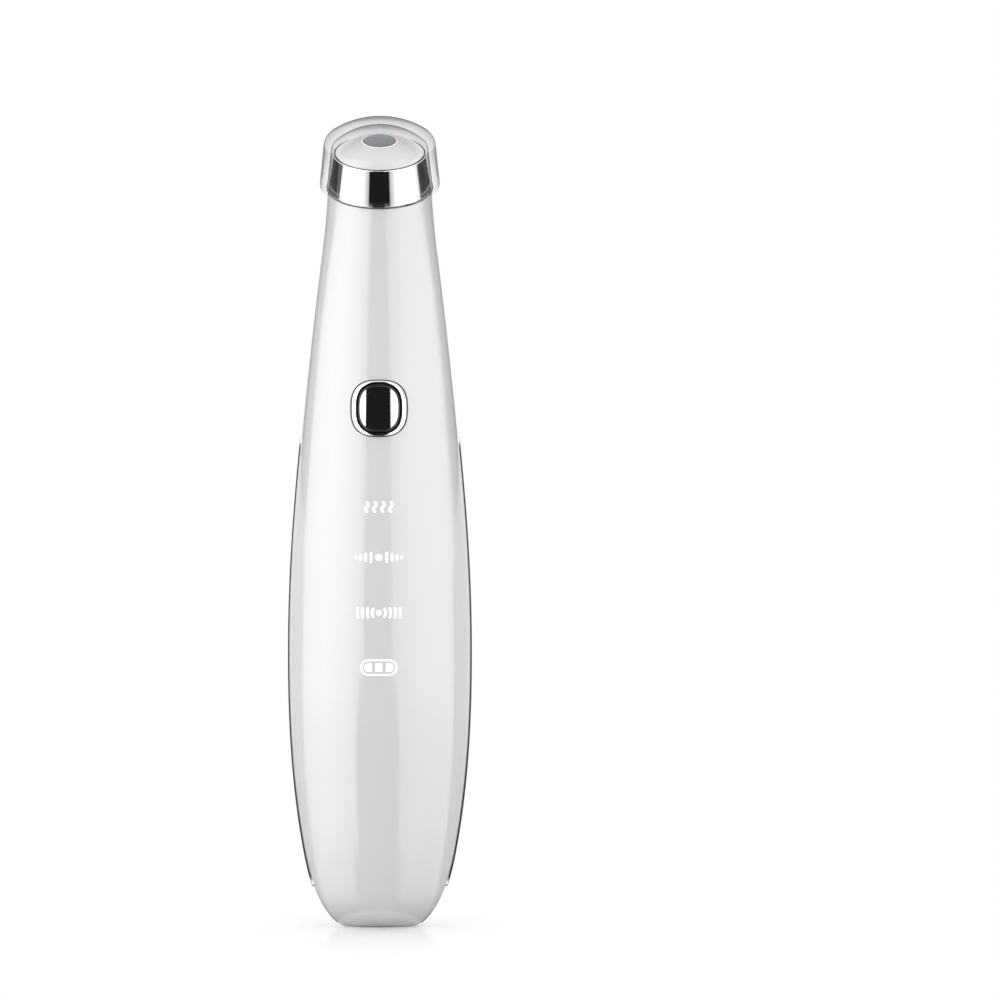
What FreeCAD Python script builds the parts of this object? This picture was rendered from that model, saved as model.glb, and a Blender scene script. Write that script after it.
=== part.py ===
import FreeCAD, Part
import math
import os
from FreeCAD import Matrix, Placement, Rotation, Vector

# Heated eye massager wand, in millimetres. It stands on its foot: +Z runs up the handle, the button
# side faces -Y, and the origin is the middle of the charging socket's mouth, in the plane of the foot.

RIM_FRONT_HEIGHT = 131.6  # where the top rim of the handle meets its front

# ---- Skin of the handle ------------------------------------------------------------------------
# One row per level of the grip: height, half width, and the y of the front and of the back at x = 0.
GRIP_ROWS = (
    (0.0, 6.4, -2.8, 2.8),
    (0.6, 7.8, -3.8, 3.6),
    (2.0, 9.2, -5.5, 5.2),
    (4.8, 11.0, -7.2, 7.2),
    (9.0, 12.6, -8.2, 8.8),
    (15.0, 13.95, -9.0, 10.25),
    (24.0, 15.3, -9.85, 11.8),
    (34.0, 16.2, -10.55, 13.05),
    (48.0, 16.65, -10.95, 14.15),
    (62.0, 16.45, -10.85, 14.5),
    (76.0, 15.65, -10.05, 14.1),
    (90.0, 14.4, -8.75, 13.0),
)
# The same along the neck, with the share of the way from the grip's last row up to the rim.
NECK_ROWS = (
    (0.3365, 12.95, -7.2, 11.75),
    (0.673, 11.35, -6.5, 11.1),
    (0.9856, 9.9, -7.2, 12.0),
)
# The same past the rim, where the form goes on unseen inside the head, with the height over the rim.
HEAD_ROWS = (
    (8.4, 9.5, -8.1, 13.4),
    (16.4, 9.4, -9.0, 14.8),
)
WALL = 1.6
# Parting line between the two shells, as (height, y): along the grip, in the neck and past the rim.
GRIP_PARTING = ((-3.0, -0.1), (7.7, 0.3), (32.0, 1.8), (50.0, 2.5), (70.0, 2.8), (90.0, 2.8))
NECK_PARTING_SHARE = 0.673
NECK_PARTING_Y = 2.4
HEAD_PARTING_RISE = 18.4
HEAD_PARTING_Y = 1.8
PARTING_GAP = 0.1

# ---- Tilted head -------------------------------------------------------------------------------
HEAD_TILT = 21.3  # degrees that the head leans to the front
SEAL_THICKNESS = 0.5
SEAL_PROUD = 0.3
BAND_HEIGHT = 6.4
BAND_INSET = 0.05
BAND_TOP_INSET = 1.0
BAND_WALL = 1.0
BAND_LIP = 0.45
BAND_EDGE = 0.4
DOME_RISE = 2.8
DOME_EDGE = 0.3
PLATE_WEB = 1.1
WINDOW_RADIUS = 3.05
WINDOW_RING_WIDTH = 0.4
WINDOW_STEM_RADIUS = 2.2
WINDOW_THICKNESS = 0.9
HEATER_THICKNESS = 0.6
HEATER_BORE_GAP = 0.6
SENSOR_SIZE = 1.2
CARRIER_WALL = 0.9
CARRIER_PLUG_DEPTH = 4.0
LAMP_BOARD_LEVEL = 2.4
LAMP_BOARD_THICKNESS = 0.8
LAMP_SIZE = 2.8
LAMP_HEIGHT = 1.0
CAP_WALL = 1.3
CAP_SHOULDER_LEVEL = 9.3
CAP_TAPER = 0.85
CAP_DOME_RISE = 3.5
CAP_CORNER = 1.6
CAP_SEAT_GAP = 0.05
HEAD_FIT = 0.15
PLATE_FIT = 0.08

# ---- Button ------------------------------------------------------------------------------------
BUTTON_LEVEL = 95.2
BEZEL_WIDTH = 10.6
BEZEL_HEIGHT = 10.5
BEZEL_PROUD = 0.4
BEZEL_SEAT = 0.7
BEZEL_LAND = 0.55
SLEEVE_BOARD_GAP = 2.67  # from the bezel's sleeve back to the board
BUTTON_WIDTH = 7.7
BUTTON_HEIGHT = 8.7
BUTTON_PROUD = 0.75
BUTTON_FIT = 0.2
BUTTON_FLANGE = 0.7
BUTTON_FLANGE_THICKNESS = 0.6
BUTTON_STOP_GAP = 0.05
SQUIRCLE_POWER = 2.7

# ---- Side trims --------------------------------------------------------------------------------
# Half width of the strip at a few heights. Its middle follows the parting line.
TRIM_HALF_WIDTHS = ((7.8, 0.55), (31.8, 1.65), (50.5, 1.75), (69.2, 1.6), (89.4, 0.55))
TRIM_END_ROUND = 0.5
TRIM_PROUD = 0.3
TRIM_SEAT = 0.8
TRIM_FIT = 0.05

# ---- Board, switch and lights ------------------------------------------------------------------
BOARD_THICKNESS = 1.0
BOARD_OUTLINE = ((4.6, 5.2), (8.5, 5.2), (13.0, 9.3), (91.0, 9.3), (96.0, 6.2), (110.0, 6.2))
SWITCH_SIZE = 5.2
SWITCH_HEIGHT = 0.9
PLUNGER_RADIUS = 0.9
PLUNGER_FIT = 0.05
PLUNGER_DEPTH = 0.2
PLUNGER_WELL = 0.65
WARM_LIGHT_LEVEL = 77.2
GLOW_LIGHT_LEVEL = 68.0
PULSE_LIGHT_LEVEL = 57.9
GAUGE_LEVEL = 47.6
GAUGE_SPACING = 2.0
LIGHT_SIZE = 1.6
LIGHT_HEIGHT = 0.6
BAFFLE_HALF_WIDTH = 5.4
BAFFLE_WALL = 0.7
BAFFLE_DEPTH = 3.2
BAFFLE_CELL_HEIGHT = 4.4
BAFFLE_MARGIN = 1.3
DIFFUSER_THICKNESS = 0.4
CONTROL_CHIP_SIZE = 6.0
CONTROL_CHIP_LEVEL = 30.0
CHARGER_CHIP_SIZE = 4.0
CHARGER_CHIP_LEVEL = 18.0
CHIP_HEIGHT = 0.9

# ---- Charging socket in the foot ---------------------------------------------------------------
PORT_WIDTH = 8.94
PORT_HEIGHT = 3.26
PORT_LENGTH = 7.35
PORT_SHEET = 0.3
PORT_RECESS = 0.4
PORT_FIT = 0.15
TONGUE_WIDTH = 6.7
TONGUE_THICKNESS = 0.7
TONGUE_RECESS = 0.9

# ---- Frame and screws --------------------------------------------------------------------------
FRAME_THICKNESS = 1.2
FRAME_DROP = 17.6  # from the rim's front down to the top of the frame
FRAME_OUTLINE = (
    (10.0, 7.6), (15.0, 9.6), (91.0, 9.6), (96.0, 6.0), (RIM_FRONT_HEIGHT - FRAME_DROP, 6.0),
)
LOWER_SCREW_GAP = 4.5  # from the battery's top up to the lower screws
UPPER_SCREW_LEVEL = 84.0
SCREW_X = 7.4
SCREW_RADIUS = 0.9
SCREW_LENGTH = 5.0
SCREW_HEAD_RADIUS = 1.7
SCREW_HEAD_HEIGHT = 0.9
SCREW_FIT = 0.05
BOSS_RADIUS = 1.9

# ---- Battery -----------------------------------------------------------------------------------
BATTERY_WIDTH = 17.0
BATTERY_DEPTH = 6.6
BATTERY_LENGTH = 39.0
BATTERY_LEVEL = 18.0
BATTERY_EDGE = 1.5
PAD_THICKNESS = 0.5
PAD_MARGIN = 2.0
TRAY_FIT = 0.2
TRAY_WALL = 1.0
TRAY_DEPTH = 3.0
LEAD_RADIUS = 0.45
LEAD_X = 1.3
LEAD_BEND = 2.0
LEAD_RISE = 10.0  # from the battery's top up to the window where the leads pass the frame
LEAD_WINDOW_HALF = 2.4

# ---- Vibration motor ---------------------------------------------------------------------------
MOTOR_RADIUS = 3.5
MOTOR_DROP = 9.0  # from the frame's top down to the motor's foot
MOTOR_LENGTH = 11.0
MOTOR_FIT = 0.03
SLEEVE_WALL = 0.9
SHAFT_RADIUS = 0.5
SHAFT_FIT = 0.05
SHAFT_DEPTH = 2.5
WEIGHT_RADIUS = 2.9
WEIGHT_LENGTH = 3.0
WEIGHT_GAP = 0.8

# ---- Flat cable to the head --------------------------------------------------------------------
RIBBON_WIDTH = 5.0
RIBBON_THICKNESS = 0.25
RIBBON_LAP = 6.0  # how far it lies on the board
RIBBON_FRAME_GAP = 0.5  # over the top of the frame, which it passes in front
RIBBON_TOP_OFFSET = 4.6

REACH = 40.0  # past the handle in every direction
HALVINGS = 45  # steps of each search by halving
RING_SPANS = 24  # spans of the closed spline round each oval section
SQUIRCLE_SPANS = 32  # spans of the button's closed outlines
SAME_PLACE = 0.01  # two places nearer than this are one

BOARD_REAR = -PORT_HEIGHT / 2  # the socket lies on the back of the board, its mouth about the origin
BOARD_FRONT = BOARD_REAR - BOARD_THICKNESS
FRAME_REAR = BOARD_REAR + FRAME_THICKNESS
BATTERY_TOP = BATTERY_LEVEL + BATTERY_LENGTH
LEAD_WINDOW_LEVEL = BATTERY_TOP + LEAD_RISE
SCREW_LEVELS = (BATTERY_TOP + LOWER_SCREW_GAP, UPPER_SCREW_LEVEL)
LIGHT_LEVELS = (WARM_LIGHT_LEVEL, GLOW_LIGHT_LEVEL, PULSE_LIGHT_LEVEL)
MOTOR_LEVEL = FRAME_OUTLINE[-1][0] - MOTOR_DROP
SLEEVE_END = BOARD_FRONT - SLEEVE_BOARD_GAP

UP = Vector(0, 0, 1)
BACKWARD = Vector(0, 1, 0)
SIDEWAYS = Vector(1, 0, 0)


def save(node, *solids):
    """Write one sub-part, or a group of separate solids, to its own file."""
    shape = solids[0] if len(solids) == 1 else Part.makeCompound(list(solids))
    shape.exportStep(f"parts/{node}.step")


def fuse(first, *others):
    """Union of solids with the inner seams cleaned away."""
    return first.multiFuse(list(others)).removeSplitter()


# ---- Handle skin -------------------------------------------------------------------------------
def spline(points, steps):
    """Cubic spline through the points at the given parameters."""
    curve = Part.BSplineCurve()
    curve.interpolate(Points=points, Parameters=steps)
    return curve


def chord_steps(rows):
    """Parameters that grow with the distance from one row to the next."""
    steps = [0.0]
    for low, high in zip(rows, rows[1:]):
        steps.append(steps[-1] + math.dist(low[:2], high[:2]))
    return steps


def neck_height(share):
    """Height at a share of the way from the grip's last row up to the rim's front."""
    grip_top = GRIP_ROWS[-1][0]
    return grip_top + share * (RIM_FRONT_HEIGHT - grip_top)


SKIN_ROWS = list(GRIP_ROWS)
SKIN_ROWS += [(neck_height(row[0]),) + row[1:] for row in NECK_ROWS]
SKIN_ROWS += [(RIM_FRONT_HEIGHT + row[0],) + row[1:] for row in HEAD_ROWS]
PARTING_POINTS = list(GRIP_PARTING)
PARTING_POINTS += [
    (neck_height(NECK_PARTING_SHARE), NECK_PARTING_Y),
    (RIM_FRONT_HEIGHT + HEAD_PARTING_RISE, HEAD_PARTING_Y),
]
SKIN_STEPS = chord_steps(SKIN_ROWS)
SIDE_CURVE = spline([Vector(half, 0, z) for z, half, front, back in SKIN_ROWS], SKIN_STEPS)
DEPTH_CURVE = spline([Vector(front, back, z) for z, half, front, back in SKIN_ROWS], SKIN_STEPS)
PARTING_CURVE = spline([Vector(0, y, z) for z, y in PARTING_POINTS], chord_steps(PARTING_POINTS))


def curve_at(curve, height):
    """Point of a rising curve at a height, by halving its parameter range."""
    low, high = curve.FirstParameter, curve.LastParameter
    for _ in range(HALVINGS):
        middle = (low + high) / 2
        if curve.value(middle).z < height:
            low = middle
        else:
            high = middle
    return curve.value(low)


def ring_spline():
    """Unit circle as a closed cubic spline that starts at the back."""
    turns = [2 * math.pi * step / RING_SPANS for step in range(RING_SPANS)]
    ring = Part.BSplineCurve()
    ring.interpolate(Points=[Vector(-math.sin(turn), math.cos(turn), 0) for turn in turns], PeriodicFlag=True)
    return ring


def skin_solid(inset):
    """The handle's outer form moved inward by inset, open to no side: oval sections in one smooth surface."""
    ring = ring_spline()
    top = SKIN_ROWS[-1][0]
    poles = []
    for side, depth in zip(SIDE_CURVE.getPoles(), DEPTH_CURVE.getPoles()):
        half_width = side.x - inset
        half_depth = (depth.y - depth.x) / 2 - inset
        middle = (depth.y + depth.x) / 2
        height = side.z + inset * (1 - side.z / top)
        poles.append([Vector(half_width * p.x, middle + half_depth * p.y, height) for p in ring.getPoles()])
    surface = Part.BSplineSurface()
    surface.buildFromPolesMultsKnots(
        poles, SIDE_CURVE.getMultiplicities(), ring.getMultiplicities(),
        SIDE_CURVE.getKnots(), ring.getKnots(), False, True, SIDE_CURVE.Degree, ring.Degree,
    )
    face = surface.toShape()
    rings = [edge for edge in face.Edges if edge.BoundBox.ZLength < SAME_PLACE]
    shell = Part.makeShell([face] + [Part.Face(Part.Wire([edge])) for edge in rings])
    shell.sewShape()
    solid = Part.makeSolid(shell)
    if solid.Volume < 0:
        solid.reverse()
    return solid


def side_block(direction):
    """Everything on one side of the parting line: direction is -1 for the front, 1 for the back."""
    shift = Vector(-REACH, direction * PARTING_GAP / 2, 0)
    edge = PARTING_CURVE.toShape()
    edge.translate(shift)
    low, high = edge.valueAt(edge.FirstParameter), edge.valueAt(edge.LastParameter)
    far_low = Vector(-REACH, direction * REACH, low.z)
    far_high = Vector(-REACH, direction * REACH, high.z)
    rest = Part.makePolygon([high, far_high, far_low, low])
    return Part.Face(Part.Wire([edge] + rest.Edges)).extrude(SIDEWAYS * 2 * REACH)


# ---- Rim of the handle and the frame of the head -----------------------------------------------
def rim_length():
    """Length of the rim from its front point to its back point, along the tilt."""
    rise, run = math.sin(math.radians(HEAD_TILT)), math.cos(math.radians(HEAD_TILT))
    front = curve_at(DEPTH_CURVE, RIM_FRONT_HEIGHT).x
    low, high = 0.0, (SKIN_ROWS[-1][0] - RIM_FRONT_HEIGHT) / rise
    for _ in range(HALVINGS):
        middle = (low + high) / 2
        if front + middle * run < curve_at(DEPTH_CURVE, RIM_FRONT_HEIGHT + middle * rise).y:
            low = middle
        else:
            high = middle
    return low


TILT = math.radians(HEAD_TILT)
RIM_LENGTH = rim_length()
RIM_MIDDLE = Vector(
    0,
    curve_at(DEPTH_CURVE, RIM_FRONT_HEIGHT).x + RIM_LENGTH / 2 * math.cos(TILT),
    RIM_FRONT_HEIGHT + RIM_LENGTH / 2 * math.sin(TILT),
)
RIM_RADIUS = curve_at(SIDE_CURVE, RIM_MIDDLE.z).x
HEAD_OVAL = RIM_LENGTH / 2 / RIM_RADIUS
HEAD_PLACE = Placement(RIM_MIDDLE, Rotation(SIDEWAYS, HEAD_TILT))


def on_head(shape):
    """Place a shape made about the head's own axis on the handle's rim."""
    placed = shape.copy()
    placed.Placement = HEAD_PLACE.multiply(placed.Placement)
    return placed


def oval(shape):
    """Stretch a round shape of the head from the rim's width to its depth, then place it."""
    stretch = Matrix()
    stretch.A22 = HEAD_OVAL
    return on_head(shape.transformGeometry(stretch))


def head_slab(low, high):
    """A block across the whole handle between two levels along the head's axis."""
    return on_head(Part.makeBox(2 * REACH, 2 * REACH, high - low, Vector(-REACH, -REACH, low)))


def turned(*outline):
    """Solid turned about the head's axis from an outline of (radius, level) corners."""
    corners = [Vector(radius, 0, level) for radius, level in outline]
    face = Part.Face(Part.makePolygon(corners + corners[:1]))
    return face.revolve(Vector(0, 0, 0), UP, 360)


def soften(solid, radius, level, size):
    """Round the circular edge of a turned solid at one radius and level."""
    edges = [
        edge for edge in solid.Edges
        if edge.Closed
        and abs(edge.BoundBox.XMax - radius) < SAME_PLACE
        and abs(edge.CenterOfMass.z - level) < SAME_PLACE
    ]
    return solid.makeFillet(size, edges)


def domed(base_radius, base_level, shoulder_radius, shoulder_level, rise, corner):
    """Turned plug with a straight tapered side and a round top, its shoulder rounded by corner."""
    base = Vector(base_radius, 0, base_level)
    shoulder = Vector(shoulder_radius, 0, shoulder_level)
    top = Vector(0, 0, shoulder_level + rise)
    dome_radius = (shoulder_radius**2 + rise**2) / (2 * rise)
    half_angle = math.asin(shoulder_radius / dome_radius) / 2
    middle = Vector(
        dome_radius * math.sin(half_angle), 0, top.z - dome_radius * (1 - math.cos(half_angle))
    )
    foot = Vector(0, 0, base_level)
    edges = [
        Part.makeLine(foot, base),
        Part.makeLine(base, shoulder),
        Part.Arc(shoulder, middle, top).toShape(),
        Part.makeLine(top, foot),
    ]
    plug = Part.Face(Part.Wire(edges)).revolve(Vector(0, 0, 0), UP, 360)
    return soften(plug, shoulder_radius, shoulder_level, corner)


# ---- Rounded-square blocks of the button -------------------------------------------------------
def squircle_block(width, height, front, back):
    """Block with a superellipse outline, |x/a|^n + |z/b|^n = 1, from y = front to y = back."""
    points = []
    for step in range(SQUIRCLE_SPANS):
        turn = 2 * math.pi * step / SQUIRCLE_SPANS
        across, along = math.cos(turn), math.sin(turn)
        x = math.copysign(abs(across) ** (2 / SQUIRCLE_POWER), across) * width / 2
        z = math.copysign(abs(along) ** (2 / SQUIRCLE_POWER), along) * height / 2
        points.append(Vector(x, front, BUTTON_LEVEL + z))
    outline = Part.BSplineCurve()
    outline.interpolate(Points=points, PeriodicFlag=True)
    return Part.Face(Part.Wire([outline.toShape()])).extrude(BACKWARD * (back - front))


# ---- Flat plates of the board and the frame ----------------------------------------------------
def plate(outline, front, back):
    """Plate across the wand from (height, half width) corners, between y = front and y = back."""
    right = [Vector(half, front, z) for z, half in outline]
    left = [Vector(-half, front, z) for z, half in reversed(outline)]
    return Part.Face(Part.makePolygon(right + left + right[:1])).extrude(BACKWARD * (back - front))


def block(width, height, level, front, back, x=0.0):
    """Box centred on x and on a height, between y = front and y = back."""
    return Part.makeBox(width, back - front, height, Vector(x - width / 2, front, level - height / 2))


def pin(radius, x, z, front, back):
    """Cylinder along y between y = front and y = back."""
    return Part.makeCylinder(radius, back - front, Vector(x, front, z), BACKWARD)


def slot_block(width, depth, y, low, high):
    """Upright block with fully rounded ends, as wide as a socket's mouth."""
    length = high - low
    straight = width - depth
    middle = Part.makeBox(straight, depth, length, Vector(-straight / 2, y - depth / 2, low))
    ends = [Part.makeCylinder(depth / 2, length, Vector(side * straight / 2, y, low), UP) for side in (-1, 1)]
    return fuse(middle, *ends)


# ---- Trim outline ------------------------------------------------------------------------------
def trim_block(side, grow):
    """Block under one side trim: its outline seen from the side, grown all round by grow."""
    heights = [height for height, half in TRIM_HALF_WIDTHS]
    heights[0] -= grow
    heights[-1] += grow
    edges = []
    for direction in (-1, 1):
        points = []
        for height, (_, half) in zip(heights, TRIM_HALF_WIDTHS):
            y = curve_at(PARTING_CURVE, height).y + direction * (half + grow)
            points.append(Vector(0, y, height))
        edges.append(spline(points, heights).toShape())
    front, back = edges
    ends = []
    for index, direction in ((0, -1), (-1, 1)):
        first, last = front.Vertexes[index].Point, back.Vertexes[index].Point
        middle = (first + last) / 2 + UP * direction * TRIM_END_ROUND
        ends.append(Part.Arc(first, middle, last).toShape())
    outline = Part.Wire(Part.__sortEdges__([front, back] + ends))
    return Part.Face(outline).extrude(SIDEWAYS * side * REACH)


SKIN = skin_solid(0)
CAVITY = skin_solid(WALL)
ABOVE_RIM = head_slab(0, REACH)
PORT_Y = BOARD_REAR + PORT_HEIGHT / 2
SCREW_PLACES = [(side * SCREW_X, level) for level in SCREW_LEVELS for side in (-1, 1)]
SLEEVE_WIDTH = BEZEL_WIDTH - 2 * BEZEL_LAND
SLEEVE_HEIGHT = BEZEL_HEIGHT - 2 * BEZEL_LAND


def shells():
    """The two halves of the handle, with their seats for trims, bezel, socket and screws."""
    wall = SKIN.cut(CAVITY).cut(ABOVE_RIM)
    seat_floor = skin_solid(TRIM_SEAT)
    for side in (-1, 1):
        wall = wall.cut(trim_block(side, TRIM_FIT).cut(seat_floor))
    mouth = slot_block(PORT_WIDTH + 2 * PORT_FIT, PORT_HEIGHT + 2 * PORT_FIT, PORT_Y, -REACH, PORT_LENGTH)
    wall = wall.cut(mouth)
    front = wall.common(side_block(-1))
    back = wall.common(side_block(1))

    bosses = [pin(BOSS_RADIUS, x, z, -REACH, BOARD_FRONT) for x, z in SCREW_PLACES]
    inside_wall = skin_solid(WALL / 2)
    front = fuse(front, *[boss.common(inside_wall) for boss in bosses])
    tip = FRAME_REAR - SCREW_LENGTH
    for x, z in SCREW_PLACES:
        front = front.cut(pin(SCREW_RADIUS + SCREW_FIT, x, z, tip, BOARD_FRONT))
    front = front.cut(bezel_flange(TRIM_FIT))
    hole_width, hole_height = SLEEVE_WIDTH + 2 * TRIM_FIT, SLEEVE_HEIGHT + 2 * TRIM_FIT
    front = front.cut(squircle_block(hole_width, hole_height, -REACH, BOARD_FRONT))
    save("front_shell", front)
    save("rear_shell", back)


def trims():
    """Chrome strips over the parting line, one per side."""
    layer = skin_solid(-TRIM_PROUD).cut(skin_solid(TRIM_SEAT))
    save("left_trim", trim_block(-1, 0).common(layer))
    save("right_trim", trim_block(1, 0).common(layer))


def bezel_flange(grow):
    """The bezel's visible ring before it is opened, lying on a seat in the skin."""
    ring = squircle_block(BEZEL_WIDTH + 2 * grow, BEZEL_HEIGHT + 2 * grow, -REACH, BOARD_FRONT)
    return ring.common(skin_solid(-BEZEL_PROUD).cut(skin_solid(BEZEL_SEAT)))


def button():
    """Bezel with its sleeve, the sliding button, and the switch with its plunger."""
    opening_width = BUTTON_WIDTH + 2 * BUTTON_FIT
    opening_height = BUTTON_HEIGHT + 2 * BUTTON_FIT
    sleeve = squircle_block(SLEEVE_WIDTH, SLEEVE_HEIGHT, -REACH, SLEEVE_END).common(skin_solid(-BEZEL_PROUD))
    bezel = fuse(bezel_flange(0), sleeve)
    save("button_bezel", bezel.cut(squircle_block(opening_width, opening_height, -REACH, REACH)))

    flange_front = SLEEVE_END + BUTTON_STOP_GAP
    flange_back = flange_front + BUTTON_FLANGE_THICKNESS
    body = squircle_block(BUTTON_WIDTH, BUTTON_HEIGHT, -REACH, flange_back).common(skin_solid(-BUTTON_PROUD))
    flange = squircle_block(
        opening_width + BUTTON_FLANGE, opening_height + BUTTON_FLANGE, flange_front, flange_back
    )
    save("button_cap", fuse(body, flange))

    switch_front = BOARD_FRONT - SWITCH_HEIGHT
    well = pin(PLUNGER_RADIUS + PLUNGER_FIT, 0, BUTTON_LEVEL, switch_front, switch_front + PLUNGER_WELL)
    can = block(SWITCH_SIZE, SWITCH_SIZE, BUTTON_LEVEL, switch_front, BOARD_FRONT)
    save("tact_switch", can.cut(well))
    tip = flange_back + BUTTON_STOP_GAP
    save("switch_plunger", pin(PLUNGER_RADIUS, 0, BUTTON_LEVEL, tip, switch_front + PLUNGER_DEPTH))


def head():
    """Seal, band, warm plate, window, heater, lamp and the carrier that holds them."""
    band_radius = RIM_RADIUS - BAND_INSET
    band_top_radius = band_radius - BAND_TOP_INSET
    band_top = SEAL_THICKNESS + BAND_HEIGHT
    carrier_radius = band_top_radius - BAND_WALL - HEAD_FIT
    carrier_bore = carrier_radius - CARRIER_WALL
    plate_bottom = band_top - PLATE_WEB
    heater_bottom = plate_bottom - HEATER_THICKNESS
    lamp_board_top = LAMP_BOARD_LEVEL + LAMP_BOARD_THICKNESS
    plate_radius = band_top_radius - BAND_LIP
    window_seat = WINDOW_RADIUS + WINDOW_RING_WIDTH
    dome_top = band_top + DOME_RISE

    seal_radius = RIM_RADIUS + SEAL_PROUD
    save("neck_seal", oval(turned(
        (carrier_radius + HEAD_FIT, 0), (seal_radius, 0),
        (seal_radius, SEAL_THICKNESS), (carrier_radius + HEAD_FIT, SEAL_THICKNESS),
    )))

    band = turned(
        (band_radius, SEAL_THICKNESS), (band_top_radius, band_top),
        (plate_radius, band_top), (plate_radius, plate_bottom),
        (band_top_radius - BAND_WALL, plate_bottom),
        (band_top_radius - BAND_WALL, SEAL_THICKNESS),
    )
    save("head_band", oval(soften(band, band_top_radius, band_top, BAND_EDGE)))

    fitted_radius = plate_radius - PLATE_FIT
    cap = domed(fitted_radius, plate_bottom, fitted_radius, band_top, DOME_RISE, DOME_EDGE)
    seat_level = dome_top - WINDOW_THICKNESS
    seat = turned((0, seat_level), (window_seat, seat_level), (window_seat, REACH), (0, REACH))
    bore_radius = WINDOW_STEM_RADIUS + HEAD_FIT
    bore = turned((0, 0), (bore_radius, 0), (bore_radius, REACH), (0, REACH))
    save("contact_plate", oval(cap.cut(seat).cut(bore)))

    dome_skin = domed(fitted_radius, 0, fitted_radius, band_top, DOME_RISE, DOME_EDGE)
    ring = seat.cut(turned((0, 0), (WINDOW_RADIUS, 0), (WINDOW_RADIUS, REACH), (0, REACH))).common(dome_skin)
    save("window_ring", oval(ring))
    lens = turned((0, seat_level), (WINDOW_RADIUS, seat_level), (WINDOW_RADIUS, REACH), (0, REACH))
    stem_level = lamp_board_top + LAMP_HEIGHT + HEAD_FIT
    stem_radius = WINDOW_STEM_RADIUS
    stem = turned((0, stem_level), (stem_radius, stem_level), (stem_radius, seat_level), (0, seat_level))
    save("light_window", oval(fuse(lens.common(dome_skin), stem)))

    heater_inner = WINDOW_STEM_RADIUS + HEATER_BORE_GAP
    heater_outer = carrier_bore - HEAD_FIT
    save("heater_ring", oval(turned(
        (heater_inner, heater_bottom), (heater_outer, heater_bottom),
        (heater_outer, plate_bottom), (heater_inner, plate_bottom),
    )))
    bead_x = (heater_inner + heater_outer - SENSOR_SIZE) / 2
    bead_corner = Vector(bead_x, -SENSOR_SIZE / 2, heater_bottom - SENSOR_SIZE)
    bead = Part.makeBox(SENSOR_SIZE, SENSOR_SIZE, SENSOR_SIZE, bead_corner)
    save("temperature_sensor", on_head(bead))

    lamp_board_radius = carrier_bore - HEAD_FIT
    save("lamp_board", oval(turned(
        (0, LAMP_BOARD_LEVEL), (lamp_board_radius, LAMP_BOARD_LEVEL),
        (lamp_board_radius, lamp_board_top), (0, lamp_board_top),
    )))
    save("red_lamp", on_head(Part.makeBox(
        LAMP_SIZE, LAMP_SIZE, LAMP_HEIGHT, Vector(-LAMP_SIZE / 2, -LAMP_SIZE / 2, lamp_board_top)
    )))

    plug = skin_solid(WALL + HEAD_FIT).common(head_slab(-CARRIER_PLUG_DEPTH, 0))
    ledge = carrier_bore - CARRIER_WALL
    tube = oval(turned(
        (ledge, 0), (carrier_radius, 0), (carrier_radius, plate_bottom), (carrier_bore, plate_bottom),
        (carrier_bore, LAMP_BOARD_LEVEL), (ledge, LAMP_BOARD_LEVEL),
    ))
    through = oval(turned((0, -REACH), (ledge, -REACH), (ledge, REACH), (0, REACH)))
    save("head_carrier", fuse(plug.cut(through), tube))

    cap_foot = SEAL_THICKNESS + CAP_SEAT_GAP
    inner_base = band_radius + HEAD_FIT
    inner_shoulder = inner_base - CAP_TAPER
    shoulder = CAP_SHOULDER_LEVEL - CAP_WALL
    inside = domed(inner_base, 0, inner_shoulder, shoulder, CAP_DOME_RISE, CAP_CORNER - CAP_WALL / 2)
    outer_base, outer_shoulder = inner_base + CAP_WALL, inner_shoulder + CAP_WALL
    outside = domed(outer_base, cap_foot, outer_shoulder, CAP_SHOULDER_LEVEL, CAP_DOME_RISE, CAP_CORNER)
    save("clear_cap", oval(outside.cut(inside)))


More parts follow.
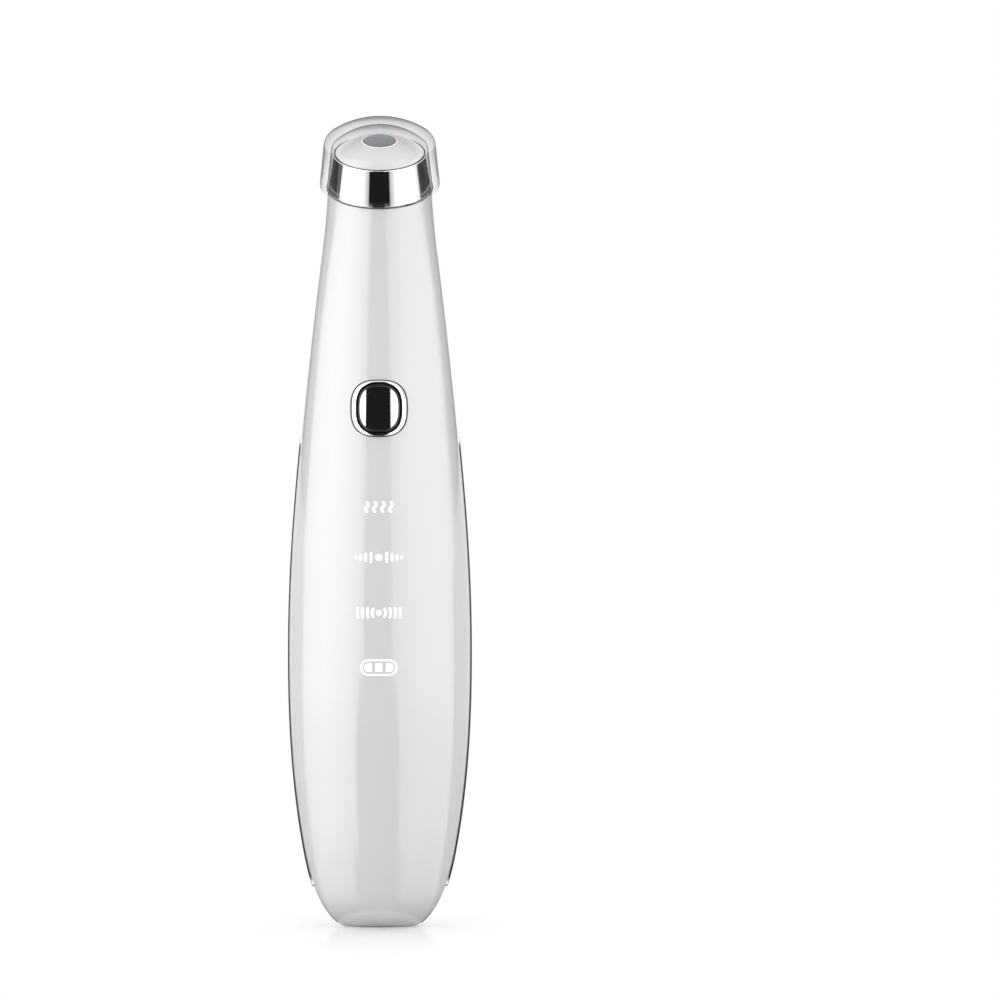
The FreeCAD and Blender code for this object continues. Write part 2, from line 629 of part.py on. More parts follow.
def electronics():
    """Main board with its chips and lights, the light box behind the symbols, and the socket."""
    board = plate(BOARD_OUTLINE, BOARD_FRONT, BOARD_REAR)
    for x, z in SCREW_PLACES:
        board = board.cut(pin(SCREW_RADIUS + SCREW_FIT, x, z, BOARD_FRONT, BOARD_REAR))
    save("main_board", board)
    chip_front = BOARD_FRONT - CHIP_HEIGHT
    for node, size, level in (
        ("control_chip", CONTROL_CHIP_SIZE, CONTROL_CHIP_LEVEL),
        ("charger_chip", CHARGER_CHIP_SIZE, CHARGER_CHIP_LEVEL),
    ):
        save(node, block(size, size, level, chip_front, BOARD_FRONT))

    light_front = BOARD_FRONT - LIGHT_HEIGHT
    save("mode_lights", *[
        block(LIGHT_SIZE, LIGHT_SIZE, level, light_front, BOARD_FRONT) for level in LIGHT_LEVELS
    ])
    save("gauge_lights", *[
        block(LIGHT_SIZE, LIGHT_SIZE, GAUGE_LEVEL, light_front, BOARD_FRONT, step * GAUGE_SPACING)
        for step in (-1, 0, 1)
    ])

    baffle_front = BOARD_FRONT - BAFFLE_DEPTH
    cell_levels = LIGHT_LEVELS + (GAUGE_LEVEL,)
    low = min(cell_levels) - BAFFLE_CELL_HEIGHT / 2 - BAFFLE_MARGIN
    high = max(cell_levels) + BAFFLE_CELL_HEIGHT / 2 + BAFFLE_MARGIN
    baffle = block(2 * BAFFLE_HALF_WIDTH, high - low, (low + high) / 2, baffle_front, BOARD_FRONT)
    cell_width = 2 * (BAFFLE_HALF_WIDTH - BAFFLE_WALL)
    for level in cell_levels:
        baffle = baffle.cut(block(cell_width, BAFFLE_CELL_HEIGHT, level, baffle_front, BOARD_FRONT))
    save("light_baffle", baffle)
    save("light_diffuser", block(
        2 * BAFFLE_HALF_WIDTH, high - low, (low + high) / 2, baffle_front - DIFFUSER_THICKNESS, baffle_front
    ))

    port_top = PORT_RECESS + PORT_LENGTH
    can = slot_block(PORT_WIDTH, PORT_HEIGHT, PORT_Y, PORT_RECESS, port_top)
    hollow = slot_block(
        PORT_WIDTH - 2 * PORT_SHEET, PORT_HEIGHT - 2 * PORT_SHEET, PORT_Y, 0, port_top - PORT_SHEET
    )
    save("usb_shell", can.cut(hollow))
    save("usb_tongue", Part.makeBox(
        TONGUE_WIDTH, TONGUE_THICKNESS, port_top - PORT_SHEET - PORT_RECESS - TONGUE_RECESS,
        Vector(-TONGUE_WIDTH / 2, PORT_Y - TONGUE_THICKNESS / 2, PORT_RECESS + TONGUE_RECESS),
    ))


def frame_and_battery():
    """Inner frame with its battery tray and screws, the cell on its pad, and its two leads."""
    frame = plate(FRAME_OUTLINE, BOARD_REAR, FRAME_REAR)
    inner_width = BATTERY_WIDTH + 2 * TRAY_FIT
    inner_length = BATTERY_LENGTH + 2 * TRAY_FIT
    middle = (BATTERY_LEVEL + BATTERY_TOP) / 2
    tray_rear = FRAME_REAR + TRAY_DEPTH
    tray = block(inner_width + 2 * TRAY_WALL, inner_length + 2 * TRAY_WALL, middle, FRAME_REAR, tray_rear)
    tray = tray.cut(block(inner_width, inner_length, middle, FRAME_REAR, tray_rear))
    frame = fuse(frame, tray)
    for x, z in SCREW_PLACES:
        frame = frame.cut(pin(SCREW_RADIUS + SCREW_FIT, x, z, BOARD_REAR, FRAME_REAR))
    window = block(2 * LEAD_WINDOW_HALF, 2 * LEAD_WINDOW_HALF, LEAD_WINDOW_LEVEL, BOARD_REAR, FRAME_REAR)
    save("inner_frame", frame.cut(window))

    screws = []
    for x, z in SCREW_PLACES:
        shank = pin(SCREW_RADIUS, x, z, FRAME_REAR - SCREW_LENGTH + SCREW_FIT, FRAME_REAR)
        screws.append(fuse(shank, pin(SCREW_HEAD_RADIUS, x, z, FRAME_REAR, FRAME_REAR + SCREW_HEAD_HEIGHT)))
    save("frame_screws", *screws)

    pad_rear = FRAME_REAR + PAD_THICKNESS
    cell_rear = pad_rear + BATTERY_DEPTH
    pad_width, pad_length = BATTERY_WIDTH - PAD_MARGIN, BATTERY_LENGTH - PAD_MARGIN
    save("battery_pad", block(pad_width, pad_length, middle, FRAME_REAR, pad_rear))
    cell = block(BATTERY_WIDTH, BATTERY_LENGTH, middle, pad_rear, cell_rear)
    upright = [edge for edge in cell.Edges if edge.BoundBox.ZLength > BATTERY_LENGTH / 2]
    save("battery_cell", cell.makeFillet(BATTERY_EDGE, upright))

    lead_y = (pad_rear + cell_rear) / 2
    bend_start = Vector(LEAD_X, lead_y, LEAD_WINDOW_LEVEL - LEAD_BEND)
    half_way = math.sqrt(0.5) * LEAD_BEND
    bend_middle = bend_start + Vector(0, half_way - LEAD_BEND, half_way)
    bend_end = Vector(LEAD_X, lead_y - LEAD_BEND, LEAD_WINDOW_LEVEL)
    path = Part.Wire([
        Part.makeLine(Vector(LEAD_X, lead_y, BATTERY_TOP), bend_start),
        Part.Arc(bend_start, bend_middle, bend_end).toShape(),
        Part.makeLine(bend_end, Vector(LEAD_X, BOARD_REAR, LEAD_WINDOW_LEVEL)),
    ])
    section = Part.Wire([Part.makeCircle(LEAD_RADIUS, Vector(LEAD_X, lead_y, BATTERY_TOP), UP)])
    lead = path.makePipeShell([section], True, False)
    save("battery_leads", lead, lead.translated(Vector(-2 * LEAD_X, 0, 0)))


def motor():
    """Vibration motor in its rubber sleeve, with the turning shaft and its half-round weight."""
    sleeve_radius = MOTOR_RADIUS + SLEEVE_WALL
    sleeve_low = MOTOR_LEVEL + SLEEVE_WALL
    sleeve_length = MOTOR_LENGTH - 2 * SLEEVE_WALL
    y = FRAME_REAR + sleeve_radius
    foot = Vector(0, y, MOTOR_LEVEL)
    top = MOTOR_LEVEL + MOTOR_LENGTH
    can = Part.makeCylinder(MOTOR_RADIUS, MOTOR_LENGTH, foot, UP)
    bearing = Part.makeCylinder(SHAFT_RADIUS + SHAFT_FIT, SHAFT_DEPTH, Vector(0, y, top - SHAFT_DEPTH), UP)
    save("motor_can", can.cut(bearing))
    saddle_corner = Vector(-sleeve_radius, FRAME_REAR, sleeve_low)
    saddle = Part.makeBox(2 * sleeve_radius, sleeve_radius, sleeve_length, saddle_corner)
    wrap = Part.makeCylinder(sleeve_radius, sleeve_length, Vector(0, y, sleeve_low), UP)
    bore = Part.makeCylinder(MOTOR_RADIUS + MOTOR_FIT, MOTOR_LENGTH, foot, UP)
    save("motor_sleeve", fuse(saddle, wrap).cut(bore))

    weight_low = top + WEIGHT_GAP
    shaft_low = top - SHAFT_DEPTH + SHAFT_FIT
    save("motor_shaft", Part.makeCylinder(
        SHAFT_RADIUS, weight_low + WEIGHT_LENGTH - shaft_low, Vector(0, y, shaft_low), UP
    ))
    disc = Part.makeCylinder(WEIGHT_RADIUS, WEIGHT_LENGTH, Vector(0, y, weight_low), UP)
    half_corner = Vector(-REACH, y - REACH + 2 * SHAFT_RADIUS, weight_low)
    front_half = Part.makeBox(2 * REACH, REACH, WEIGHT_LENGTH, half_corner)
    hole = Part.makeCylinder(SHAFT_RADIUS, WEIGHT_LENGTH, Vector(0, y, weight_low), UP)
    save("eccentric_weight", disc.common(front_half).cut(hole))


def ribbon():
    """Flat cable from the front of the board up to the underside of the lamp board."""
    board_top, frame_top = BOARD_OUTLINE[-1][0], FRAME_OUTLINE[-1][0]
    start = Vector(0, BOARD_FRONT, board_top - RIBBON_LAP)
    crest = Vector(0, BOARD_FRONT, max(board_top, frame_top + RIBBON_FRAME_GAP))
    entry = HEAD_PLACE.multVec(Vector(0, -RIBBON_TOP_OFFSET, -CARRIER_PLUG_DEPTH))
    landing = HEAD_PLACE.multVec(Vector(0, -RIBBON_TOP_OFFSET, LAMP_BOARD_LEVEL - RIBBON_THICKNESS))
    rise = Part.BSplineCurve()
    rise.interpolate(
        Points=[crest, entry, landing], InitialTangent=UP, FinalTangent=HEAD_PLACE.Rotation.multVec(UP)
    )
    inner = [Part.makeLine(start, crest), rise.toShape()]
    outer = [edge.translated(BACKWARD * -RIBBON_THICKNESS) for edge in inner]
    ends = [Part.makeLine(point, point - BACKWARD * RIBBON_THICKNESS) for point in (start, landing)]
    face = Part.Face(Part.Wire(Part.__sortEdges__(inner + outer + ends)))
    band = face.extrude(SIDEWAYS * RIBBON_WIDTH)
    save("head_ribbon", band.translated(SIDEWAYS * (-RIBBON_WIDTH / 2)))


os.makedirs("parts", exist_ok=True)
shells()
trims()
button()
head()
electronics()
frame_and_battery()
motor()
ribbon()
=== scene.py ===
"""Heated eye massager wand: glossy handle, chrome strips and button, warm head under a clear dust cap."""
import math

import bmesh
import bpy
import numpy as np
from bpy.props import FloatProperty, FloatVectorProperty, PointerProperty
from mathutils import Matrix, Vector


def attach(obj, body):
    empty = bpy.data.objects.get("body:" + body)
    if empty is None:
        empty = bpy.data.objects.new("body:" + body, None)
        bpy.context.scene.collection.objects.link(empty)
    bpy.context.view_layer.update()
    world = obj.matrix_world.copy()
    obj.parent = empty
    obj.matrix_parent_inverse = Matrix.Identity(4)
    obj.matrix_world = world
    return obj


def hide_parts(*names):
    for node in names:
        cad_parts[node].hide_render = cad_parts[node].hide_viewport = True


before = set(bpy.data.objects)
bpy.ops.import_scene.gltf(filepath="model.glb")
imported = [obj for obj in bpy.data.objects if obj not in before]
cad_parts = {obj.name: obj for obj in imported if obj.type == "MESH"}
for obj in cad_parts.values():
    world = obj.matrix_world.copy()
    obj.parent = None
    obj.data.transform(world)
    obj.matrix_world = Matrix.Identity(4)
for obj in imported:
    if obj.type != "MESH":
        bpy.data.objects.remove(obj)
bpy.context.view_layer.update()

bl_info = {
    "name": "Heated Eye Massager Wand",
    "version": (1, 0, 0),
    "blender": (4, 5, 0),
    "location": "View3D > Sidebar > Wand",
    "description": "Dresses the packed wand with smooth surfaces and finishes, and sets up its studio",
    "category": "Object",
}

MM = 0.001  # the sizes below are in millimetres, and meshes are in metres
FRONT, BACK = -1, 1

# ---- Form of the handle, as in its solid ----
RIM_FRONT_HEIGHT = 131.6
GRIP_TOP = 90.0
GRIP_ROWS = (
    (0.0, 6.4, -2.8, 2.8),
    (0.6, 7.8, -3.8, 3.6),
    (2.0, 9.2, -5.5, 5.2),
    (4.8, 11.0, -7.2, 7.2),
    (9.0, 12.6, -8.2, 8.8),
    (15.0, 13.95, -9.0, 10.25),
    (24.0, 15.3, -9.85, 11.8),
    (34.0, 16.2, -10.55, 13.05),
    (48.0, 16.65, -10.95, 14.15),
    (62.0, 16.45, -10.85, 14.5),
    (76.0, 15.65, -10.05, 14.1),
    (GRIP_TOP, 14.4, -8.75, 13.0),
)
NECK_ROWS = ((0.3365, 12.95, -7.2, 11.75), (0.673, 11.35, -6.5, 11.1), (0.9856, 9.9, -7.2, 12.0))
HEAD_ROWS = ((8.4, 9.5, -8.1, 13.4), (16.4, 9.4, -9.0, 14.8))
GRIP_PARTING = ((-3.0, -0.1), (7.7, 0.3), (32.0, 1.8), (50.0, 2.5), (70.0, 2.8), (90.0, 2.8))
NECK_PARTING = (0.673, 2.4)
HEAD_PARTING = (18.4, 1.8)
PARTING_GAP = 0.1
NECK_START = 112.0  # from here up the rows lean over to the tilted rim
MOUTH_WIDTH = 9.24
MOUTH_DEPTH = 3.56

# ---- Strips, button and head, as in their solids ----
STRIP_HALF_WIDTHS = ((7.8, 0.55), (31.8, 1.65), (50.5, 1.75), (69.2, 1.6), (89.4, 0.55))
STRIP_END = 0.5
BUTTON_LEVEL = 95.2
BEZEL_HALF = (5.3, 5.25)
BEZEL_OPENING = (4.05, 4.55)
BEZEL_HOLE = (4.8, 4.75)
BEZEL_REAR = -5.3
BUTTON_HALF = (3.85, 4.35)
BUTTON_FLANGE = (4.4, 4.9)
BUTTON_FLANGE_Y = (-5.25, -4.65)
SQUIRCLE_POWER = 2.7
HEAD_TILT = math.radians(21.3)
SEAL_THICK = 0.3
SEAL_REACH = 0.6  # in under the band's lip
BAND_BASE, BAND_TAPER, BAND_TOP = 0.05, 1.0, 6.9
BAND_LIP, BAND_WALL = 0.2, 1.0
GROOVE = 0.2  # between the band's lip and the dome
GROOVE_FLOOR = BAND_TOP - 1.1
DOME_RISE = 2.8
WINDOW_RADIUS, RING_RADIUS, WINDOW_DEPTH = 3.05, 3.45, 0.9
WINDOW_GAP, STEM_GAP = 0.02, 0.15
STEM_RADIUS, STEM_LEVEL = 2.2, 4.35
CAP_FOOT, CAP_SHOULDER, CAP_RISE, CAP_TAPER, CAP_CORNER, CAP_FIT = 0.75, 9.3, 3.5, 0.85, 1.6, 0.15
CAP_FOOT_ROUND = 0.2

# ---- Marks on the front: heights of their middles, and the width of their lines ----
WARM_LEVEL, GLOW_LEVEL, PULSE_LEVEL, GAUGE_LEVEL = 77.2, 68.0, 57.9, 47.9
PEN_WIDTH, WAVE_SWING = 0.42, 0.28
GAUGE_HALF_STRAIGHT, GAUGE_RADIUS, GAUGE_LINE_HALF = 1.88, 1.34, 0.15
CELL_HALF_HEIGHT = 0.76

# ---- Fineness of the surfaces ----
TABLE_STEPS = 6000
SPIN_STEPS = 256
RING_STEPS = 240
STRIP_ROWS, STRIP_COLUMNS = 200, 48
SHELL_ROWS = (16, 16, 64, 21, 30)  # in each span from the foot to the rim's front
HOLE_COLUMNS, SIDE_COLUMNS, ROLL_STEPS, FOOT_ROWS = 10, 40, 6, 6
LINE_STEPS, MARK_STEPS = 40, 60
SHARP_ANGLE = math.radians(38)
MERGE = 2e-7  # in metres: points this near to each other are one
BRACE_GAP = 0.06
CARD_STEPS = 24


# ---- Curves ----
def cubic(steps, values, at):
    """Cubic spline through values at steps, read at any place. The inner slopes keep the bend even from
    span to span, and each end slope is that of the cubic through the four nearest points."""
    steps = np.asarray(steps, float)
    values = np.asarray(values, float).reshape(len(steps), -1)
    gaps = np.diff(steps)
    rates = np.diff(values, axis=0) / gaps[:, None]
    system = np.diag(np.r_[1, 2 * (gaps[:-1] + gaps[1:]), 1])
    system += np.diag(np.r_[gaps[1:], 0], -1) + np.diag(np.r_[0, gaps[:-1]], 1)
    sums = np.zeros_like(values)
    sums[1:-1] = 3 * (gaps[1:, None] * rates[:-1] + gaps[:-1, None] * rates[1:])
    sums[0] = np.polyfit(steps[:4] - steps[0], values[:4], 3)[-2]
    sums[-1] = np.polyfit(steps[-4:] - steps[-1], values[-4:], 3)[-2]
    slopes = np.linalg.solve(system, sums)
    at = np.asarray(at, float)
    low = np.clip(np.searchsorted(steps, at, side="right") - 1, 0, len(gaps) - 1)
    gap = gaps[low][..., None]
    t = (at - steps[low])[..., None] / gap
    return (
        (2 * t**3 - 3 * t**2 + 1) * values[low] + (t**3 - 2 * t**2 + t) * gap * slopes[low]
        + (3 * t**2 - 2 * t**3) * values[low + 1] + (t**3 - t**2) * gap * slopes[low + 1]
    )


def table_of(rows):
    """Fine table of a spline through rows, whose steps grow with the distance in the first two columns."""
    rows = np.asarray(rows, float)
    steps = np.r_[0, np.cumsum(np.hypot(*np.diff(rows[:, :2], axis=0).T))]
    return cubic(steps, rows, np.linspace(0, steps[-1], TABLE_STEPS))


def neck_height(share):
    """Height at a share of the way from the grip's last row up to the rim's front."""
    return GRIP_TOP + share * (RIM_FRONT_HEIGHT - GRIP_TOP)


SKIN_ROWS = (
    list(GRIP_ROWS)
    + [(neck_height(row[0]),) + row[1:] for row in NECK_ROWS]
    + [(RIM_FRONT_HEIGHT + row[0],) + row[1:] for row in HEAD_ROWS]
)
SKIN_TABLE = table_of(SKIN_ROWS)
PARTING_TABLE = table_of(
    list(GRIP_PARTING)
    + [(neck_height(NECK_PARTING[0]), NECK_PARTING[1])]
    + [(RIM_FRONT_HEIGHT + HEAD_PARTING[0], HEAD_PARTING[1])]
)
SKIN_TOP = SKIN_ROWS[-1][0]


def section(height, out=0.0):
    """Oval section of the skin at a height: half width, middle and half depth, moved outward by out. The
    skin then also reaches out below its foot, so it is read at (height + out) / (1 + out / top)."""
    source = (height + out) / (1 + out / SKIN_TOP)
    half, front, back = (np.interp(source, SKIN_TABLE[:, 0], SKIN_TABLE[:, k]) for k in (1, 2, 3))
    return half + out, (front + back) / 2, (back - front) / 2 + out


def parting(height):
    """y of the parting line at a height."""
    return np.interp(height, PARTING_TABLE[:, 0], PARTING_TABLE[:, 1])


def joined(x, y, z):
    """Points from three arrays that may differ in shape."""
    return np.stack(np.broadcast_arrays(x, y, z), axis=-1)


def front_skin_y(x, z, out):
    """y of the front skin over x and z: the near half of the oval section there."""
    half, middle, depth = section(z, out)
    return middle - depth * np.sqrt(np.clip(1 - (x / half) ** 2, 0, 1))


def smooth(t):
    """Rises from 0 to 1 with level ends: 3t^2 - 2t^3."""
    t = np.clip(t, 0, 1)
    return t * t * (3 - 2 * t)


# ---- Frame of the tilted head ----
def rim():
    """Middle of the tilted rim, its radius across and its stretch from there to its depth."""
    heights = np.linspace(RIM_FRONT_HEIGHT, SKIN_TOP, TABLE_STEPS)
    start = front_skin_y(0.0, RIM_FRONT_HEIGHT, 0.0)
    back = np.interp(heights, SKIN_TABLE[:, 0], SKIN_TABLE[:, 3])
    short = start + (heights - RIM_FRONT_HEIGHT) / math.tan(HEAD_TILT) - back
    rise = np.interp(0.0, short, heights) - RIM_FRONT_HEIGHT
    length = rise / math.sin(HEAD_TILT)
    middle = (float(start + rise / math.tan(HEAD_TILT) / 2), float(RIM_FRONT_HEIGHT + rise / 2))
    radius = float(section(middle[1])[0])
    return middle, radius, float(length / 2 / radius)


(RIM_Y, RIM_Z), RIM_RADIUS, HEAD_OVAL = rim()


def on_head(x, y, level):
    """Points given about the head's own axis, leaned forward by the tilt and set on the rim."""
    return joined(
        x,
        RIM_Y + y * math.cos(HEAD_TILT) - level * math.sin(HEAD_TILT),
        RIM_Z + y * math.sin(HEAD_TILT) + level * math.cos(HEAD_TILT),
    )


def spun(outline):
    """Outline of (radius, level) points turned about the head's axis: x = radius * cos(turn) and
    y = radius * sin(turn), stretched to the head's oval."""
    turn = np.linspace(0, 2 * math.pi, SPIN_STEPS, endpoint=False)[:, None]
    radius, level = np.asarray(outline, float).T
    return on_head(radius * np.cos(turn), radius * np.sin(turn) * HEAD_OVAL, level + 0 * turn)


def arc(centre, start, end, steps=7):
    """Points on the shorter arc about centre from start to end, by even turns of the radius."""
    centre, start, end = (np.asarray(p, float) for p in (centre, start, end))
    first = math.atan2(*(start - centre)[::-1])
    sweep = (math.atan2(*(end - centre)[::-1]) - first + math.pi) % (2 * math.pi) - math.pi
    turn = first + sweep * np.linspace(0, 1, steps)
    return centre + np.hypot(*(start - centre)) * np.stack([np.cos(turn), np.sin(turn)], axis=-1)


def braced(outline):
    """Outline with a point close to both ends of every long straight run, which keeps its shading flat."""
    runs = [outline[:1]]
    for here, there in zip(outline, outline[1:]):
        far = math.hypot(*(there - here))
        if far > 5 * BRACE_GAP:
            step = (there - here) * BRACE_GAP / far
            runs.append(np.stack([here + step, there - step]))
        runs.append(there[None])
    return np.concatenate(runs)


def rounded(*corners):
    """Closed outline of (radius, level, rounding) corners. A rounded corner is an arc that touches both
    sides: it starts rounding / tan(half the corner's angle) away from the corner."""
    spots = np.array([corner[:2] for corner in corners], float)
    runs = []
    for index, (*_, size) in enumerate(corners):
        spot = spots[index]
        if not size:
            runs.append(spot[None])
            continue
        one, two = spots[index - 1] - spot, spots[(index + 1) % len(spots)] - spot
        one, two = one / np.hypot(*one), two / np.hypot(*two)
        half = math.acos(np.clip(one @ two, -1, 1)) / 2
        middle = (one + two) / np.hypot(*(one + two))
        reach = size / math.tan(half)
        runs.append(arc(spot + middle * size / math.sin(half), spot + one * reach, spot + two * reach))
    return braced(np.concatenate(runs + [runs[0][:1]]))[:-1]


def dome_outline(base, shoulder, rise, corner, steps=40):
    """Outline from base up a straight side to the shoulder, round it, and along a ball's arc to the axis.
    The ball's radius is (shoulder^2 + rise^2) / (2 * rise), and the rounding's centre lies corner inside
    the side and corner inside the ball."""
    base, shoulder = np.asarray(base, float), np.asarray(shoulder, float)
    ball = (shoulder[0] ** 2 + rise**2) / (2 * rise)
    centre = np.array([0.0, shoulder[1] + rise - ball])
    along = (shoulder - base) / np.hypot(*(shoulder - base))
    inward = np.array([-along[1], along[0]])
    offset = shoulder + inward * corner - centre
    reach = math.sqrt((offset @ along) ** 2 - offset @ offset + (ball - corner) ** 2)
    down = abs(offset @ along - reach)
    middle = shoulder + inward * corner - along * down
    touch = centre + (middle - centre) * ball / (ball - corner)
    bend = arc(middle, shoulder - along * down, touch, 9)
    top = arc(centre, touch, centre + (0, ball), steps)
    return np.concatenate([braced(np.stack([base, bend[0]])), bend[1:], top[1:]])


# ---- Meshes ----
def grid_faces(rows, columns, loop_rows, loop_columns, first=0):
    """Four-sided faces between neighbouring points of a grid, closed round where it is a loop."""
    index = np.arange(rows * columns).reshape(rows, columns) + first
    if loop_rows:
        index = np.vstack([index, index[:1]])
    if loop_columns:
        index = np.hstack([index, index[:, :1]])
    return np.stack([index[:-1, :-1], index[1:, :-1], index[1:, 1:], index[:-1, 1:]], axis=-1)


def tidy(mesh):
    """Merge doubled points, drop faces with no area, point all faces outward and shade smooth between
    sharp edges."""
    made = bmesh.new()
    made.from_mesh(mesh)
    bmesh.ops.remove_doubles(made, verts=made.verts, dist=MERGE)
    bmesh.ops.dissolve_degenerate(made, edges=made.edges, dist=MERGE)
    bmesh.ops.recalc_face_normals(made, faces=made.faces)
    made.to_mesh(mesh)
    made.free()
    mesh.shade_smooth()
    mesh.set_sharp_from_angle(angle=SHARP_ANGLE)


def new_object(name, points, faces, finish):
    """Object in the scene from points in metres and faces."""
    mesh = bpy.data.meshes.new(name)
    mesh.from_pydata(np.asarray(points).tolist(), [], np.asarray(faces).tolist())
    mesh.materials.append(finish)
    made = bpy.data.objects.new(name, mesh)
    bpy.context.scene.collection.objects.link(made)
    return made


def piece(name, points, faces, body, slot, finish, nodes=(), dark=None):
    """One object of the wand from points in millimetres and four-sided faces. dark says how much painted
    shade each point gets, from 0 to 1, kept as a point attribute for the finish to read."""
    used, index = np.unique(faces, return_inverse=True)
    made = new_object(name, points[used] * MM, index.reshape(faces.shape), finish)
    if dark is not None:
        made.data.attributes.new("painted_shade", "FLOAT", "POINT").data.foreach_set("value", dark[used])
    tidy(made.data)
    if nodes:
        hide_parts(*nodes)
    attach(made, body)


def gridded(*grids):
    """Points and faces of grids, each (points, loop rows, loop columns)."""
    points, faces, first = [], [], 0
    for spots, loop_rows, loop_columns in grids:
        rows, columns = spots.shape[:2]
        faces.append(grid_faces(rows, columns, loop_rows, loop_columns, first).reshape(-1, 4))
        points.append(spots.reshape(-1, 3))
        first += rows * columns
    return np.concatenate(points), np.concatenate(faces)


def turned(name, outline, slot, finish, node, dark=None, body="handle", closed=True):
    """Piece spun from an outline about the head's axis. dark is given along the outline, or for every
    point that the outline is turned to."""
    if dark is not None:
        dark = np.broadcast_to(np.asarray(dark, float), (SPIN_STEPS, len(outline))).ravel()
    piece(name, *gridded((spun(outline), True, closed)), body, slot, finish, [node], dark)


# ---- Shader nodes ----
class Reading:
    """A socket whose value can be reckoned with: an expression adds the Math nodes that it needs."""

    def __init__(self, maker, socket):
        self.maker, self.socket = maker, socket

    def _math(self, operation, *values):
        """One Math node over the values."""
        return self.maker.node("ShaderNodeMath", {"operation": operation}, dict(enumerate(values)))

    def __add__(self, other):
        return self._math("ADD", self, other)

    def __radd__(self, other):
        return self._math("ADD", other, self)

    def __sub__(self, other):
        return self._math("SUBTRACT", self, other)

    def __rsub__(self, other):
        return self._math("SUBTRACT", other, self)

    def __mul__(self, other):
        return self._math("MULTIPLY", self, other)

    def __rmul__(self, other):
        return self._math("MULTIPLY", other, self)

    def above(self, level):
        """1 where the value is over level, else 0."""
        return self._math("GREATER_THAN", self, level)

    def most(self, other):
        """The larger of two values."""
        return self._math("MAXIMUM", self, other)

    def ramp(self, low, high, start=0.0, end=1.0):
        """start at low and before, end at high and past it, straight between."""
        values = {0: self, 1: low, 2: high, 3: start, 4: end}
        return self.maker.node("ShaderNodeMapRange", {"clamp": True}, values)

    def along(self, stops):
        """Level that runs straight between stops of (value, level)."""
        total = stops[0][1]
        for (low, one), (high, two) in zip(stops, stops[1:]):
            total = total + self.ramp(low, high, 0.0, two - one)
        return total


class Finish:
    """Node tree of a material or of the world, with one method that adds any node."""

    def __init__(self, owner):
        owner.use_nodes = True
        self.tree = owner.node_tree
        self.tree.nodes.clear()

    def node(self, kind, settings=None, values=None, output=0):
        """Add a node: its settings first, then the values or links of its sockets."""
        made = self.tree.nodes.new(kind)
        for name, setting in (settings or {}).items():
            setattr(made, name, setting)
        for key, value in (values or {}).items():
            socket = made.inputs[key]
            if isinstance(value, Reading):
                self.tree.links.new(value.socket, socket)
            else:
                socket.default_value = value
        return Reading(self, made.outputs[output])

    def spot(self):
        """Object coordinates in metres."""
        return self.node("ShaderNodeTexCoord", output="Object")

    def place(self, stretch=(1.0, 1.0, 1.0)):
        """Object coordinates, stretched."""
        return self.node("ShaderNodeMapping", None, {"Vector": self.spot(), "Scale": stretch})

    def far(self, spot):
        """Distance of a spot from the origin: the root of x^2 + y^2 + z^2."""
        return self.node("ShaderNodeVectorMath", {"operation": "LENGTH"}, {0: spot}, output="Value")

    def grain(self, scale, detail=2.0, stretch=(1.0, 1.0, 1.0)):
        """Noise from 0 to 1 with so many grains to the metre."""
        values = {"Vector": self.place(stretch), "Scale": scale, "Detail": detail, "Roughness": 0.5}
        return self.node("ShaderNodeTexNoise", {"noise_dimensions": "3D"}, values)

    def blend(self, factor, one, two):
        """Colour between one and two."""
        settings = {"data_type": "RGBA", "blend_type": "MIX"}
        return self.node("ShaderNodeMix", settings, {0: factor, 6: one, 7: two}, output=2)

    def bump(self, height, strength, distance):
        """Surface turned a little by a height."""
        values = {"Strength": strength, "Distance": distance, "Height": height}
        return self.node("ShaderNodeBump", None, values)

    def painted_shade(self):
        """How much painted shade the surface has, from 0 to 1, as its point attribute says."""
        return self.node("ShaderNodeAttribute", {"attribute_name": "painted_shade"}, output="Fac")

    def path(self, reading):
        """What the light path says of a ray."""
        return self.node("ShaderNodeLightPath", output=reading)

    def seen(self):
        """1 for rays that show what they meet: straight, mirrored or through clear plastic."""
        mirrored = self.path("Is Camera Ray").most(self.path("Is Glossy Ray"))
        return mirrored.most(self.path("Is Transmission Ray"))

    def principled(self, values):
        """Principled shader."""
        return self.node("ShaderNodeBsdfPrincipled", None, values)

    def either(self, factor, one, two):
        """Shader between one and two."""
        return self.node("ShaderNodeMixShader", None, {0: factor, 1: one, 2: two})

    def link_out(self, shader, target="ShaderNodeOutputMaterial"):
        """Send a shader to the output."""
        out = self.tree.nodes.new(target)
        self.tree.links.new(shader.socket, out.inputs["Surface"])


def material(name):
    """A named material with its node maker."""
    made = bpy.data.materials.new(name)
    return made, Finish(made)


def shade(colour, factor):
    """A colour made lighter or darker by a factor, as a node value."""
    return tuple(min(1.0, part * factor) for part in colour[:3]) + (1.0,)


